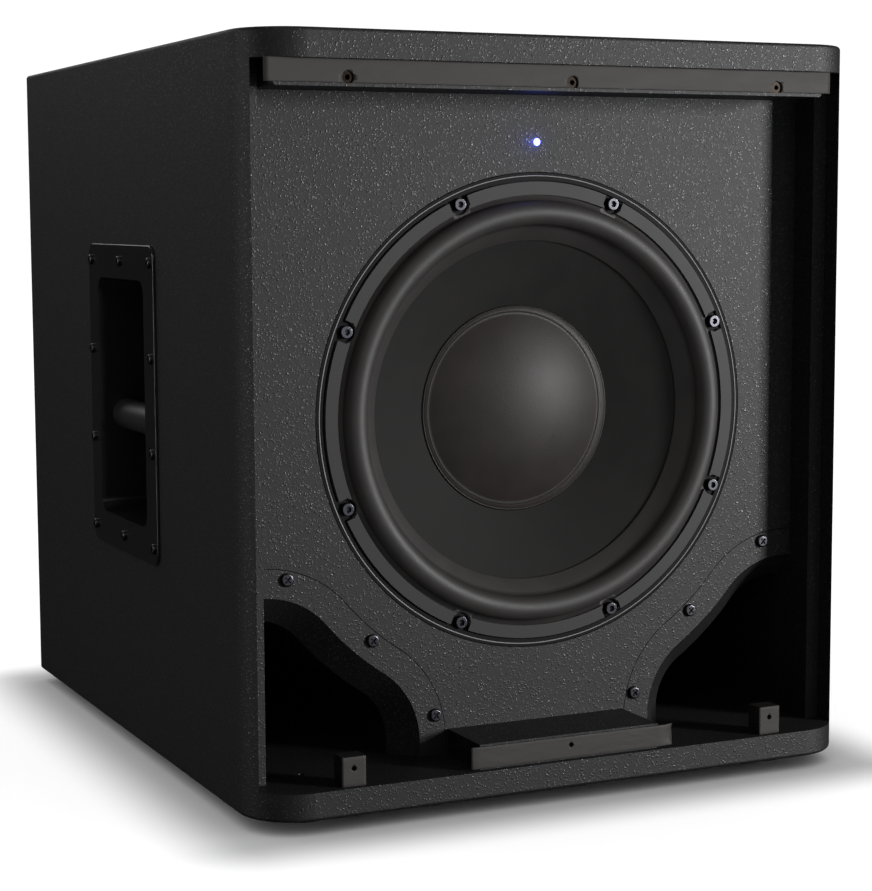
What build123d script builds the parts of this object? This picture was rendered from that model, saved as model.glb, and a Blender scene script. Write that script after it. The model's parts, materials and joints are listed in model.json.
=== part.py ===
from build123d import *
from math import asin, cos, radians, sin, sqrt, tan
import os

# A ported 12-inch powered subwoofer with its grille off.
# Millimetres. +Z up, the front faces -Y, the origin is under the middle of the feet.
# Depths into the cabinet are measured backwards from the front plane.

os.makedirs("parts", exist_ok=True)

# ---------------------------------------------------------------- driving dimensions
cabinet_width = 438.0
cabinet_depth = 515.0
cabinet_height = 484.0
corner_radius = 37.0  # the two front uprights, seen from above
deck = 18.0  # top and bottom boards
wall = 16.5  # side boards and the boards that carry the grille
edge_round = 2.5

lip = 6.4  # thin front edge of each side board
lip_rebate_depth = 31.0
foot_height = 9.0
foot_radius = 19.0
foot_inset = 46.0

baffle_setback = 53.0
baffle_thickness = 18.0
back_setback = 22.0
back_thickness = 18.0

grille_setback = 4.0
rail_left_gap = 0.5  # the rail was fitted hard against the left board
rail_right_gap = 12.5
tape_overhang = 6.0
tape_thickness = 1.2
tape_width = 14.4
grille_hole_x = 154.0
rail_hole_drop = 11.0  # below the top board
tab_width = 16.0
tab_height = 19.0
tab_depth = 12.0
tab_hole_height = 11.7  # above the bottom board
block_half_length = 66.0
block_tape_half_length = 74.8
block_tape_shift = 2.6
tape_lift = 0.8
block_hole_height = 9.6
insert_radius = 3.9
insert_bore = 1.65
insert_length = 9.0

port_top = 114.0  # above the bottom board
port_side = 86.5  # from the middle plane
port_waist_rise = 42.0  # from the cabinet's underside up to the hollow stretch's lowest point
port_waist_radius = cabinet_height / 2 - port_waist_rise  # round the driver's axis
port_round = 58.0
port_trim_band = 19.0
port_bevel = 17.0
port_duct_wall = 5.0
port_duct_length = 225.0
port_seam = 0.5
port_screw_inset = 13.0

driver_pitch_radius = 148.0
driver_screw_count = 8
driver_first_screw = 22.5  # degrees round from +X
driver_screw_radius = 2.4
driver_screw_notch = 6.6  # cut in the surround's lip round each screw
driver_rim_radius = 157.5
driver_rim_thickness = 6.0
driver_step_radius = 152.6
driver_step = 1.5
sealing_gasket = 1.5
surround_outer = 139.5
surround_inner = 123.0
surround_crest = 9.0  # how far the roll stands in front of the baffle
surround_skin = 1.4
cone_bend_radius = 113.0
cone_bend_depth = 11.0
cone_neck_depth = 45.5
cone_skin = 1.5
coil_radius = 38.1
former_wall = 0.5
cap_radius = 64.5
cap_flange_radius = 69.5
cap_height = 15.0
spider_depth = 60.0
spider_radius = 93.0
motor_depth = 83.0  # front of the top plate, behind the baffle's face
top_plate_thickness = 8.0
magnet_thickness = 22.0
yoke_thickness = 8.0
magnet_radius = 88.0
magnet_bore = 46.0
top_plate_radius = 82.0
gap_clearance = 0.8
pole_clearance = 1.0
pole_vent = 14.0

handle_setback = 263.0  # middle of the handle behind the front plane
handle_height = 243.0  # middle of the handle above the cabinet's underside
handle_plate_length = 154.0
handle_plate_height = 219.0
handle_open_length = 108.5
handle_open_height = 170.5
handle_corner = 10.0
handle_plate_proud = 2.0
handle_screw_inset = (7.5, 12.0)
cup_wall = 3.0
cup_depth = 74.0
cup_taper = 7.0
bar_radius = 11.0
bar_depth = 20.0
bar_drop = 15.0

amp_width = 270.0
amp_height = 330.0
amp_plate = 3.0
amp_ledge = 11.0
led_height = 419.3
led_radius = 2.5

knob_radius = 9.0
knob_height = 13.0
knob_shaft = 3.0
running_fit = 0.05
button_radius = 4.0
button_travel = 2.5
rocker_radius = 12.3
rocker_half_width = 6.3
rocker_swing = 16.0
moving_gap = 0.4

screw_fit = 0.1
fit = 0.5

# ---------------------------------------------------------------- derived places
front = -cabinet_depth / 2
back = cabinet_depth / 2
underside = foot_height
floor_z = underside + deck
ceiling_z = underside + cabinet_height - deck
inner_height = ceiling_z - floor_z
inner_width = cabinet_width - 2 * wall
middle_z = (floor_z + ceiling_z) / 2
baffle_y = front + baffle_setback
baffle_back = baffle_y + baffle_thickness
grille_y = front + grille_setback
board_front = grille_y + tape_thickness
back_face = back - back_setback
back_inner = back_face - back_thickness
driver_z = underside + cabinet_height / 2
driver_plane = Plane(origin=(0, 0, driver_z), x_dir=(1, 0, 0), z_dir=(0, 0, 1))
driver_axis = Axis((0, 0, driver_z), (0, 1, 0))
rebate_depth = driver_rim_thickness + sealing_gasket


def facing_front(y):
    """A sketch plane at depth y: X to the right, Z up, positive extrusion to the front."""
    return Plane(origin=(0, y, 0), x_dir=(1, 0, 0), z_dir=(0, -1, 0))


def facing_back(y):
    """A sketch plane at depth y whose positive extrusion goes to the back; its x is -X."""
    return Plane(origin=(0, y, 0), x_dir=(-1, 0, 0), z_dir=(0, 1, 0))


def driver_screw_ring():
    """The places of the driver's screws, about the middle of the driver."""
    return PolarLocations(driver_pitch_radius, driver_screw_count, start_angle=driver_first_screw)


def finish(part, name):
    part.label = name
    export_step(part, f"parts/{name}.step")


# ---------------------------------------------------------------- cabinet boards
feet_spots = [
    (sx * (cabinet_width / 2 - foot_inset), sy * (cabinet_depth / 2 - foot_inset))
    for sx in (-1, 1)
    for sy in (-1, 1)
]
foot_screw_radius = 2.2
foot_screw_length = 20.0

with BuildPart() as top_panel:
    with BuildSketch(Plane.XY.offset(ceiling_z)) as outline:
        Rectangle(cabinet_width, cabinet_depth)
        fillet(outline.vertices().group_by(Axis.Y)[0], corner_radius)
    extrude(amount=deck)
    fillet(top_panel.edges().group_by(Axis.Z)[-1], edge_round)
finish(top_panel.part, "top_panel")

with BuildPart() as bottom_panel:
    with BuildSketch(Plane.XY.offset(underside)) as outline:
        Rectangle(cabinet_width, cabinet_depth)
        fillet(outline.vertices().group_by(Axis.Y)[0], corner_radius)
    extrude(amount=deck)
    fillet(bottom_panel.edges().group_by(Axis.Z)[0], edge_round)
    with BuildSketch(Plane.XY.offset(underside)):
        with Locations(*feet_spots):
            Circle(foot_screw_radius + screw_fit)
    extrude(amount=deck, mode=Mode.SUBTRACT)
finish(bottom_panel.part, "bottom_panel")

# Handle screws: two rows of five round the opening.
handle_y = front + handle_setback
handle_z = underside + handle_height
screw_row = handle_plate_length / 2 - handle_screw_inset[0]
screw_column = handle_plate_height / 2 - handle_screw_inset[1]
handle_screw_spots = [(0, screw_column), (0, -screw_column)]
handle_screw_spots += [
    (sy * screw_row, sz * height)
    for sy in (-1, 1)
    for sz in (-1, 1)
    for height in (screw_column, screw_column / 3)
]
handle_shank = 1.9
handle_shank_length = 13.0


def handle_plane(side, x):
    return Plane(
        origin=(side * x, handle_y, handle_z), x_dir=(0, side, 0), z_dir=(side, 0, 0)
    )


def side_panel(side):
    """A side board: its front follows the round corner and thins to a lip."""
    with BuildPart() as board:
        with BuildSketch(Plane.XY.offset(floor_z)) as plan:
            Rectangle(cabinet_width, cabinet_depth)
            fillet(plan.vertices().group_by(Axis.Y)[0], corner_radius)
            with Locations((side * (cabinet_width - wall) / 2, 0)):
                Rectangle(wall, cabinet_depth, mode=Mode.INTERSECT)
            with Locations(
                (side * (inner_width / 2 + (wall - lip) / 2), front + lip_rebate_depth / 2)
            ):
                Rectangle(wall - lip, lip_rebate_depth, mode=Mode.SUBTRACT)
        extrude(amount=inner_height)
        with BuildSketch(handle_plane(side, cabinet_width / 2)):
            RectangleRounded(
                handle_open_length + 2 * (cup_wall + fit),
                handle_open_height + 2 * (cup_wall + fit),
                handle_corner + cup_wall,
            )
        extrude(amount=-wall, mode=Mode.SUBTRACT)
        with BuildSketch(handle_plane(side, cabinet_width / 2)):
            with Locations(*handle_screw_spots):
                Circle(handle_shank + screw_fit)
        extrude(amount=-(handle_shank_length - handle_plate_proud + fit), mode=Mode.SUBTRACT)
    return board.part


finish(side_panel(-1), "side_panel_left")
finish(side_panel(1), "side_panel_right")

# ---------------------------------------------------------------- port outline
port_round_x = sqrt(
    (port_waist_radius + port_round) ** 2
    - (driver_z - floor_z - port_top + port_round) ** 2
)
port_low_x = port_side + port_round
port_low_z = driver_z - sqrt((port_waist_radius + port_round) ** 2 - port_low_x**2)
outside = 60.0  # how far the outline runs on past the boards, where it is trimmed


def port_profile(side, grow, bevelled=False):
    """The port mouth's outline grown by a distance: two round shoulders with a
    hollow between them that runs round the driver, trimmed by the cabinet."""
    with BuildSketch() as mouth:
        with Locations((port_side, floor_z - outside)):
            Rectangle(
                inner_width / 2 + outside - port_side,
                port_top + outside,
                align=(Align.MIN, Align.MIN),
            )
        with Locations((0, driver_z)):
            Circle(port_waist_radius, mode=Mode.SUBTRACT)
        corners = mouth.vertices().sort_by(
            lambda v: abs(Vector(v.X, v.Y - driver_z).length - port_waist_radius)
        )
        fillet(corners[:2], port_round)
        if grow:
            offset(amount=grow, kind=Kind.ARC)
        if not bevelled:
            with Locations((0, middle_z)):
                Rectangle(inner_width, inner_height, mode=Mode.INTERSECT)
    if side > 0:
        return mouth.sketch
    return mirror(mouth.sketch, about=Plane.YZ)


def port_screw_spots(side):
    reach = port_round + port_screw_inset
    waist = port_waist_radius - port_screw_inset
    upper, lower, middle = radians(14), radians(13.5), radians(39.9)
    return [
        (
            side * (port_round_x - reach * sin(upper)),
            floor_z + port_top - port_round + reach * cos(upper),
        ),
        (side * waist * sin(middle), driver_z - waist * cos(middle)),
        (side * (port_low_x - reach * cos(lower)), port_low_z + reach * sin(lower)),
    ]


port_screw_shank = 1.8
port_screw_length = baffle_thickness + 10.0

# ---------------------------------------------------------------- front baffle
driver_hole_radius = 143.0
with BuildPart() as front_baffle:
    with BuildSketch(facing_front(baffle_back)):
        with Locations((0, middle_z)):
            Rectangle(inner_width, inner_height)
        with Locations((0, driver_z)):
            Circle(driver_hole_radius, mode=Mode.SUBTRACT)
            with driver_screw_ring():
                Circle(driver_screw_radius + 2 * screw_fit, mode=Mode.SUBTRACT)
        with Locations((0, underside + led_height)):
            Circle(led_radius + screw_fit, mode=Mode.SUBTRACT)
        for side in (-1, 1):
            add(port_profile(side, port_trim_band), mode=Mode.SUBTRACT)
    extrude(amount=baffle_thickness)
    with BuildSketch(facing_front(baffle_y + rebate_depth)):
        with Locations((0, driver_z)):
            Circle(driver_rim_radius + fit)
    extrude(amount=rebate_depth, mode=Mode.SUBTRACT)
finish(front_baffle.part, "front_baffle")


def port_trim(side):
    """The S-shaped board round a port mouth, bevelled into the duct."""
    with BuildPart() as trim:
        with BuildSketch(facing_front(baffle_back)):
            add(port_profile(side, port_trim_band - port_seam))
            with Locations(*port_screw_spots(side)):
                Circle(port_screw_shank + screw_fit, mode=Mode.SUBTRACT)
        extrude(amount=baffle_thickness)
        with BuildSketch(facing_front(baffle_back)):
            add(port_profile(side, -port_bevel))
        extrude(amount=baffle_thickness, mode=Mode.SUBTRACT)
        with BuildSketch(facing_front(baffle_back - baffle_thickness + port_bevel)):
            add(port_profile(side, -port_bevel, bevelled=True))
        extrude(amount=port_bevel, taper=-45, mode=Mode.SUBTRACT)
    return trim.part


def port_duct(side):
    """The moulded duct behind a port mouth: a flange and the long curved wall."""
    with BuildPart() as duct:
        with BuildSketch(facing_front(baffle_back + port_duct_wall)):
            add(port_profile(side, port_trim_band + 8.0))
            add(port_profile(side, -port_bevel), mode=Mode.SUBTRACT)
        extrude(amount=port_duct_wall)
        with BuildSketch(facing_front(baffle_back + port_duct_length)):
            add(port_profile(side, port_duct_wall - port_bevel))
            add(port_profile(side, -port_bevel), mode=Mode.SUBTRACT)
        extrude(amount=port_duct_length)
        with BuildSketch(facing_front(baffle_back + port_duct_wall)):
            with Locations(*port_screw_spots(side)):
                Circle(port_screw_shank + screw_fit)
        extrude(amount=port_duct_wall, mode=Mode.SUBTRACT)
    return duct.part


for name, side in (("left", -1), ("right", 1)):
    finish(port_trim(side), f"port_trim_{name}")
    finish(port_duct(side), f"port_duct_{name}")


def pan_screws(name, planes, shank, length, head, head_height):
    """Cross-recessed pan-head screws, one at the origin of each plane, heads along +z."""
    slot = head * 1.15
    with BuildPart() as screws:
        for plane in planes:
            with BuildSketch(plane):
                Circle(head)
            extrude(amount=head_height)
            with BuildSketch(plane):
                Circle(shank)
            extrude(amount=-length)
            with BuildSketch(plane.offset(head_height)):
                Rectangle(slot, head / 4)
                Rectangle(head / 4, slot)
            extrude(amount=-head_height * 0.6, mode=Mode.SUBTRACT)
        rims = screws.edges().filter_by(GeomType.CIRCLE).filter_by(
            lambda e: abs(e.radius - head) < 0.01
            and min(abs(p.offset(head_height).to_local_coords(e.arc_center).Z) for p in planes)
            < 0.01
        )
        fillet(rims, head_height * 0.55)
    finish(screws.part, name)


port_screw_planes = [
    Plane(origin=(x, baffle_y, z), x_dir=(1, 0, 1), z_dir=(0, -1, 0))
    for side in (-1, 1)
    for x, z in port_screw_spots(side)
]
pan_screws("port_screws", port_screw_planes, port_screw_shank, port_screw_length, 4.4, 2.4)

# ---------------------------------------------------------------- grille fixings
rail_hole_z = ceiling_z - rail_hole_drop
rail_length = inner_width - rail_left_gap - rail_right_gap
rail_middle = (rail_left_gap - rail_right_gap) / 2
tab_hole_z = floor_z + tab_hole_height
block_hole_z = floor_z + block_hole_height
rail_holes = [(x, rail_hole_z) for x in (-grille_hole_x, 0, grille_hole_x)]
tab_holes = [(x, tab_hole_z) for x in (-grille_hole_x, grille_hole_x)]

with BuildPart() as grille_rail:
    with BuildSketch(facing_front(baffle_y)):
        with Locations((rail_middle, ceiling_z - wall / 2)):
            Rectangle(rail_length, wall)
    extrude(amount=baffle_y - board_front)
    fillet(grille_rail.edges().filter_by(Axis.Y).group_by(Axis.Z)[0], 2.0)
    with BuildSketch(facing_front(board_front + insert_length)):
        with Locations(*rail_holes):
            Circle(insert_radius)
    extrude(amount=insert_length, mode=Mode.SUBTRACT)
finish(grille_rail.part, "grille_rail")

with BuildPart() as rail_tape:
    with BuildSketch(facing_front(board_front)):
        with Locations((rail_middle, ceiling_z - tape_width / 2)):
            Rectangle(rail_length + 2 * tape_overhang, tape_width)
        with Locations(*rail_holes):
            Circle(insert_radius + screw_fit, mode=Mode.SUBTRACT)
    extrude(amount=tape_thickness)
finish(rail_tape.part, "rail_tape")

with BuildPart() as grille_tabs:
    with BuildSketch(facing_front(board_front + tab_depth)):
        with Locations(*[(x, floor_z + tab_height / 2) for x, z in tab_holes]):
            Rectangle(tab_width, tab_height)
        with Locations(*tab_holes):
            Circle(insert_radius, mode=Mode.SUBTRACT)
    extrude(amount=tab_depth)
finish(grille_tabs.part, "grille_tabs")

with BuildPart() as grille_block:
    with BuildSketch(facing_front(baffle_y)):
        with Locations((0, floor_z + wall / 2)):
            Rectangle(2 * block_half_length, wall)
    extrude(amount=baffle_y - board_front)
    with BuildSketch(facing_front(board_front + insert_length)):
        with Locations((0, block_hole_z)):
            Circle(insert_radius)
    extrude(amount=insert_length, mode=Mode.SUBTRACT)
finish(grille_block.part, "grille_block")

with BuildPart() as lower_tapes:
    with BuildSketch(facing_front(board_front)):
        with Locations((block_tape_shift, floor_z + tape_width / 2 + tape_lift)):
            Rectangle(2 * block_tape_half_length, tape_width)
        with Locations(*[(x, floor_z + tab_height / 2) for x, z in tab_holes]):
            Rectangle(tab_width, tab_height)
        with Locations((0, block_hole_z), *tab_holes):
            Circle(insert_bore, mode=Mode.SUBTRACT)
    extrude(amount=tape_thickness)
finish(lower_tapes.part, "lower_tapes")

with BuildPart() as grille_inserts:
    with BuildSketch(facing_front(board_front + insert_length)):
        with Locations(*rail_holes, *tab_holes, (0, block_hole_z)):
            Circle(insert_radius)
            Circle(insert_bore, mode=Mode.SUBTRACT)
    extrude(amount=insert_length)
finish(grille_inserts.part, "grille_inserts")

# ---------------------------------------------------------------- status light
with BuildPart() as status_light:
    with BuildSketch(facing_front(baffle_back)):
        with Locations((0, underside + led_height)):
            Circle(led_radius)
    extrude(amount=baffle_thickness + 1.0)
    fillet(status_light.edges().group_by(Axis.Y)[0], 1.6)
finish(status_light.part, "status_light")

# ---------------------------------------------------------------- driver


def spun(name, *regions):
    """A body turned about the driver's axis from regions of (radius, depth) corners;
    depths are behind the baffle's face."""
    with BuildPart() as body:
        with BuildSketch(driver_plane):
            for corners in regions:
                with BuildLine():
                    Polyline(*[(r, baffle_y + y) for r, y in corners], close=True)
                make_face()
        revolve(axis=driver_axis)
    if name:
        finish(body.part, name)
    return body.part


def ring(r_in, r_out, y_front, y_back):
    return [(r_in, y_front), (r_out, y_front), (r_out, y_back), (r_in, y_back)]


basket_wall = 4.0
basket_throat = 100.0  # where the spokes reach the spider's seat
basket_foot = 88.0
basket_foot_ledge = 28.0
spider_ledge = 6.0  # thickness of the casting round the spider's seat
basket_windows = 8
basket_window_size = (25.0, 58.0)
basket_window_radius = 118.5
with BuildPart() as driver_basket:
    with BuildSketch(driver_plane):
        with BuildLine():
            Polyline(
                *[
                    (r, baffle_y + y)
                    for r, y in (
                        (driver_rim_radius, 0),
                        (driver_rim_radius, driver_rim_thickness),
                        (driver_hole_radius - fit, driver_rim_thickness),
                        (driver_hole_radius - fit, 2 * driver_rim_thickness + 2),
                        (basket_throat, spider_depth - 2),
                        (basket_throat, spider_depth + spider_ledge),
                        (basket_foot, spider_depth + spider_ledge),
                        (basket_foot, motor_depth),
                        (basket_foot - basket_foot_ledge, motor_depth),
                        (basket_foot - basket_foot_ledge, motor_depth - basket_wall),
                        (basket_foot - basket_wall, motor_depth - basket_wall),
                        (basket_foot - basket_wall, spider_depth + 1),
                        (basket_throat - basket_wall, spider_depth + 1),
                        (basket_throat - basket_wall, spider_depth - 4),
                        (driver_hole_radius - fit - basket_wall, 2 * driver_rim_thickness),
                        (driver_hole_radius - fit - basket_wall, driver_step + 1),
                        (surround_outer + 1, driver_step + 1),
                        (surround_outer + 1, driver_step),
                        (driver_step_radius, driver_step),
                        (driver_step_radius, 0),
                    )
                ],
                close=True,
            )
        make_face()
    revolve(axis=driver_axis)
    with BuildSketch(facing_front(baffle_y + spider_depth - 5)):
        with Locations((0, driver_z)):
            with PolarLocations(basket_window_radius, basket_windows):
                RectangleRounded(*basket_window_size, 5)
    extrude(amount=spider_depth - 20, mode=Mode.SUBTRACT)
    with BuildSketch(facing_front(baffle_y + driver_rim_thickness)):
        with Locations((0, driver_z)):
            with driver_screw_ring():
                Circle(driver_screw_radius + screw_fit)
    extrude(amount=driver_rim_thickness, mode=Mode.SUBTRACT)
finish(driver_basket.part, "driver_basket")

with BuildPart() as driver_gasket:
    with BuildSketch(facing_front(baffle_y + rebate_depth)):
        with Locations((0, driver_z)):
            Circle(driver_rim_radius)
            Circle(driver_hole_radius, mode=Mode.SUBTRACT)
            with driver_screw_ring():
                Circle(driver_screw_radius + screw_fit, mode=Mode.SUBTRACT)
    extrude(amount=sealing_gasket)
finish(driver_gasket.part, "driver_gasket")

# Surround: outer lip on the basket's step, a forward half roll, inner lip on the cone.
seat = driver_step - surround_skin / 2
roll_middle = (surround_outer + surround_inner) / 2
lip_fall = 0.8  # slope of the cone's outer band
cone_edge_radius = surround_inner + 0.6
glue = 0.1
cone_edge_depth = cone_bend_depth - (cone_edge_radius - cone_bend_radius) * lip_fall
with BuildPart() as surround:
    with BuildSketch(driver_plane):
        with BuildLine():
            inner_edge = (cone_edge_radius, baffle_y + cone_edge_depth - glue)
            inner_foot = (cone_bend_radius, baffle_y + cone_bend_depth - glue)
            inner_tip = (cone_bend_radius, baffle_y + cone_bend_depth - glue - surround_skin)
            roll_in = (surround_inner, baffle_y + cone_edge_depth - surround_skin - glue)
            roll_out = (surround_outer, baffle_y + driver_step - surround_skin)
            crest = (roll_middle, baffle_y - surround_crest)
            under_out = (surround_outer - surround_skin, baffle_y + driver_step)
            under_in = (surround_inner + surround_skin, baffle_y + cone_edge_depth - glue)
            under_crest = (roll_middle, baffle_y - surround_crest + surround_skin)
            lip_out = (driver_step_radius - 1, baffle_y + driver_step - surround_skin)
            lip_out_back = (driver_step_radius - 1, baffle_y + driver_step)
            Polyline(inner_edge, inner_foot, inner_tip, roll_in)
            ThreePointArc(roll_in, crest, roll_out)
            Polyline(roll_out, lip_out, lip_out_back, under_out)
            ThreePointArc(under_out, under_crest, under_in)
            Line(under_in, inner_edge)
        make_face()
    revolve(axis=driver_axis)
    with BuildSketch(facing_front(baffle_y + driver_step + 1)):
        with Locations((0, driver_z)):
            with driver_screw_ring():
                Circle(driver_screw_notch)
    extrude(amount=driver_step + 2.5, mode=Mode.SUBTRACT)
finish(surround.part, "surround")

gasket_notch = driver_screw_notch + 0.3
gasket_thickness = 1.6
# Eight gasket segments clamp the surround's outer lip between the screws.
with BuildPart() as trim_gasket:
    with BuildSketch(facing_front(baffle_y + driver_step - surround_skin)):
        with Locations((0, driver_z)):
            Circle(driver_step_radius - 1.0)
            Circle(surround_outer + 3.6, mode=Mode.SUBTRACT)
            with driver_screw_ring():
                Circle(gasket_notch, mode=Mode.SUBTRACT)
                with Locations((4, 0)):
                    Rectangle(2 * gasket_notch, 2 * gasket_notch, mode=Mode.SUBTRACT)
    extrude(amount=gasket_thickness)
finish(trim_gasket.part, "trim_gasket")

screw_head = 4.2
screw_socket = 2.3
screw_head_height = 2.4
with BuildPart() as driver_screws:
    with BuildSketch(facing_front(baffle_y + driver_step)):
        with Locations((0, driver_z)):
            with driver_screw_ring():
                Circle(screw_head)
    extrude(amount=driver_step + screw_head_height)
    fillet(driver_screws.edges().group_by(Axis.Y)[0], 0.6)
    with BuildSketch(facing_front(baffle_y + baffle_thickness)):
        with Locations((0, driver_z)):
            with driver_screw_ring():
                Circle(driver_screw_radius)
    extrude(amount=baffle_thickness - driver_step)
    with BuildSketch(facing_front(baffle_y - 0.2)):
        with Locations((0, driver_z)):
            with driver_screw_ring():
                RegularPolygon(screw_socket, 6)
    extrude(amount=3, mode=Mode.SUBTRACT)
finish(driver_screws.part, "driver_screws")

cone_collar = 5.0  # the cone's neck, glued along the former
cone_slope = (cone_neck_depth - cone_bend_depth) / (cone_bend_radius - coil_radius)


def cone_depth(radius):
    """Depth of the cone's front face behind the baffle, inside its bend."""
    return cone_bend_depth + (cone_bend_radius - radius) * cone_slope


spun(
    "cone",
    [
        (cone_edge_radius, cone_edge_depth),
        (cone_bend_radius, cone_bend_depth),
        (coil_radius, cone_neck_depth),
        (coil_radius, cone_neck_depth + cone_collar),
        (coil_radius + cone_skin, cone_neck_depth + cone_collar),
        (coil_radius + cone_skin, cone_depth(coil_radius + cone_skin) + 1.6 * cone_skin),
        (cone_bend_radius, cone_bend_depth + 1.2 * cone_skin),
        (cone_edge_radius, cone_edge_depth + 1.2 * cone_skin),
    ],
)

cap_rim_depth = cone_depth(cap_radius)
cap_skin = 1.0
with BuildPart() as dust_cap:
    with BuildSketch(driver_plane):
        with BuildLine():
            rim = (cap_radius, baffle_y + cap_rim_depth - cap_skin)
            apex = (0, baffle_y + cap_rim_depth - cap_height)
            apex_back = (0, baffle_y + cap_rim_depth - cap_height + cap_skin)
            rim_back = (cap_radius, baffle_y + cap_rim_depth)
            flange_back = (cap_flange_radius, baffle_y + cone_depth(cap_flange_radius))
            flange = (cap_flange_radius, baffle_y + cone_depth(cap_flange_radius) - cap_skin)
            sphere = (cap_radius**2 + (cap_height - cap_skin) ** 2) / (2 * (cap_height - cap_skin))
            half = asin(cap_radius / sphere) / 2
            shoulder = sphere * (1 - cos(half))
            crown = (sphere * sin(half), baffle_y + cap_rim_depth - cap_height + shoulder)
            crown_back = (crown[0], crown[1] + cap_skin)
            ThreePointArc(apex, crown, rim)
            Polyline(rim, flange, flange_back, rim_back)
            ThreePointArc(rim_back, crown_back, apex_back)
            Line(apex_back, apex)
        make_face()
    revolve(axis=driver_axis)
finish(dust_cap.part, "dust_cap")

coil_middle = motor_depth + top_plate_thickness / 2
coil_half = 9.0
coil_build = 1.1
spun(
    "voice_coil_former",
    ring(coil_radius - former_wall, coil_radius, cone_neck_depth - 2, coil_middle + coil_half + 2),
)
spun(
    "voice_coil_winding",
    ring(coil_radius, coil_radius + coil_build, coil_middle - coil_half, coil_middle + coil_half),
)

# The spider is a rippled disc between the former and its seat in the basket.
ripples = 11
ripple_height = 1.6
spider_cloth = 0.9
spider_neck = coil_radius + 4
spider_seat = spider_radius - 6
ripple_line = [(coil_radius, spider_depth), (spider_neck, spider_depth)]
ripple_line += [
    (
        spider_neck + (spider_seat - spider_neck) * n / ripples,
        spider_depth + (ripple_height if n % 2 else -ripple_height),
    )
    for n in range(1, ripples)
]
ripple_line += [(spider_seat, spider_depth), (spider_radius, spider_depth)]
spun("spider", ripple_line + [(r, y + spider_cloth) for r, y in reversed(ripple_line)])

plate_bore = coil_radius + coil_build + gap_clearance
pole_radius = coil_radius - former_wall - pole_clearance
magnet_front = motor_depth + top_plate_thickness
magnet_back = magnet_front + magnet_thickness
motor_back = magnet_back + yoke_thickness
spun("top_plate", ring(plate_bore, top_plate_radius, motor_depth, magnet_front))
spun("magnet", ring(magnet_bore, magnet_radius, magnet_front, magnet_back))
spun(
    "yoke",
    [
        (pole_vent, motor_depth - 1),
        (pole_radius, motor_depth - 1),
        (pole_radius, magnet_back),
        (top_plate_radius, magnet_back),
        (top_plate_radius, motor_back),
        (pole_vent, motor_back),
    ],
)

# Terminal block on the basket's foot, with the two flexible leads to the cone.
terminal_y = baffle_y + spider_depth + 12
terminal_x = 12.0
terminal_board_size = (44.0, 10.0)
with BuildPart() as driver_terminals:
    with BuildSketch(facing_front(terminal_y + 6)):
        with Locations((0, driver_z - basket_foot - 5)):
            Rectangle(*terminal_board_size)
    extrude(amount=12)
    with BuildSketch(facing_front(terminal_y)):
        with Locations(*[(x, driver_z - basket_foot - 12) for x in (-terminal_x, terminal_x)]):
            Rectangle(6, 8)
    extrude(amount=1, both=True)
    with BuildSketch(facing_front(terminal_y + 7)):
        with Locations((0, driver_z)):
            Circle(basket_foot)
    extrude(amount=14, mode=Mode.SUBTRACT)
finish(driver_terminals.part, "driver_terminals")

lead_radius = 1.0
with BuildPart() as tinsel_leads:
    for x in (-terminal_x, terminal_x):
        lead_low = (x, baffle_y + spider_depth - 6, driver_z - basket_foot + 2)
        lead_high = (x, baffle_y + cone_depth(60) + 6.5, driver_z - 60)
        with BuildLine() as route:
            Line(lead_low, lead_high)
        with BuildSketch(Plane(origin=lead_low, z_dir=route.line % 0)):
            Circle(lead_radius)
        sweep(path=route.line)
finish(tinsel_leads.part, "tinsel_leads")

# ---------------------------------------------------------------- handles
bar_half = handle_open_length / 2 + cup_wall - bar_depth * tan(radians(cup_taper)) - 0.2


def handle_cup(side):
    """A moulded recess: a flat plate on the side board and a tapering cup behind it."""
    face = cabinet_width / 2 + handle_plate_proud
    with BuildPart() as cup:
        with BuildSketch(handle_plane(side, cabinet_width / 2)):
            RectangleRounded(handle_plate_length, handle_plate_height, handle_corner)
        extrude(amount=handle_plate_proud)
        fillet(cup.faces().sort_by(Axis.X)[-1 if side > 0 else 0].edges(), 1.2)
        with BuildSketch(handle_plane(side, cabinet_width / 2)):
            RectangleRounded(
                handle_open_length + 2 * cup_wall,
                handle_open_height + 2 * cup_wall,
                handle_corner + cup_wall,
            )
        extrude(amount=-cup_depth, taper=cup_taper)
        with BuildSketch(handle_plane(side, face)):
            RectangleRounded(handle_open_length, handle_open_height, handle_corner)
        extrude(
            amount=-(cup_depth + handle_plate_proud - cup_wall),
            taper=cup_taper,
            mode=Mode.SUBTRACT,
        )
        with BuildSketch(handle_plane(side, face)):
            with Locations(*handle_screw_spots):
                Circle(handle_shank + screw_fit)
        extrude(amount=-handle_plate_proud, mode=Mode.SUBTRACT)
        with BuildSketch(facing_front(handle_y + bar_half)):
            with Locations((side * (face - bar_depth), handle_z - bar_drop)):
                Circle(bar_radius)
        extrude(amount=2 * bar_half, mode=Mode.SUBTRACT)
    return cup.part


def handle_bar(side):
    with BuildPart() as bar:
        with BuildSketch(facing_front(handle_y + bar_half)):
            with Locations(
                (side * (cabinet_width / 2 + handle_plate_proud - bar_depth), handle_z - bar_drop)
            ):
                Circle(bar_radius)
        extrude(amount=2 * bar_half)
    return bar.part


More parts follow.
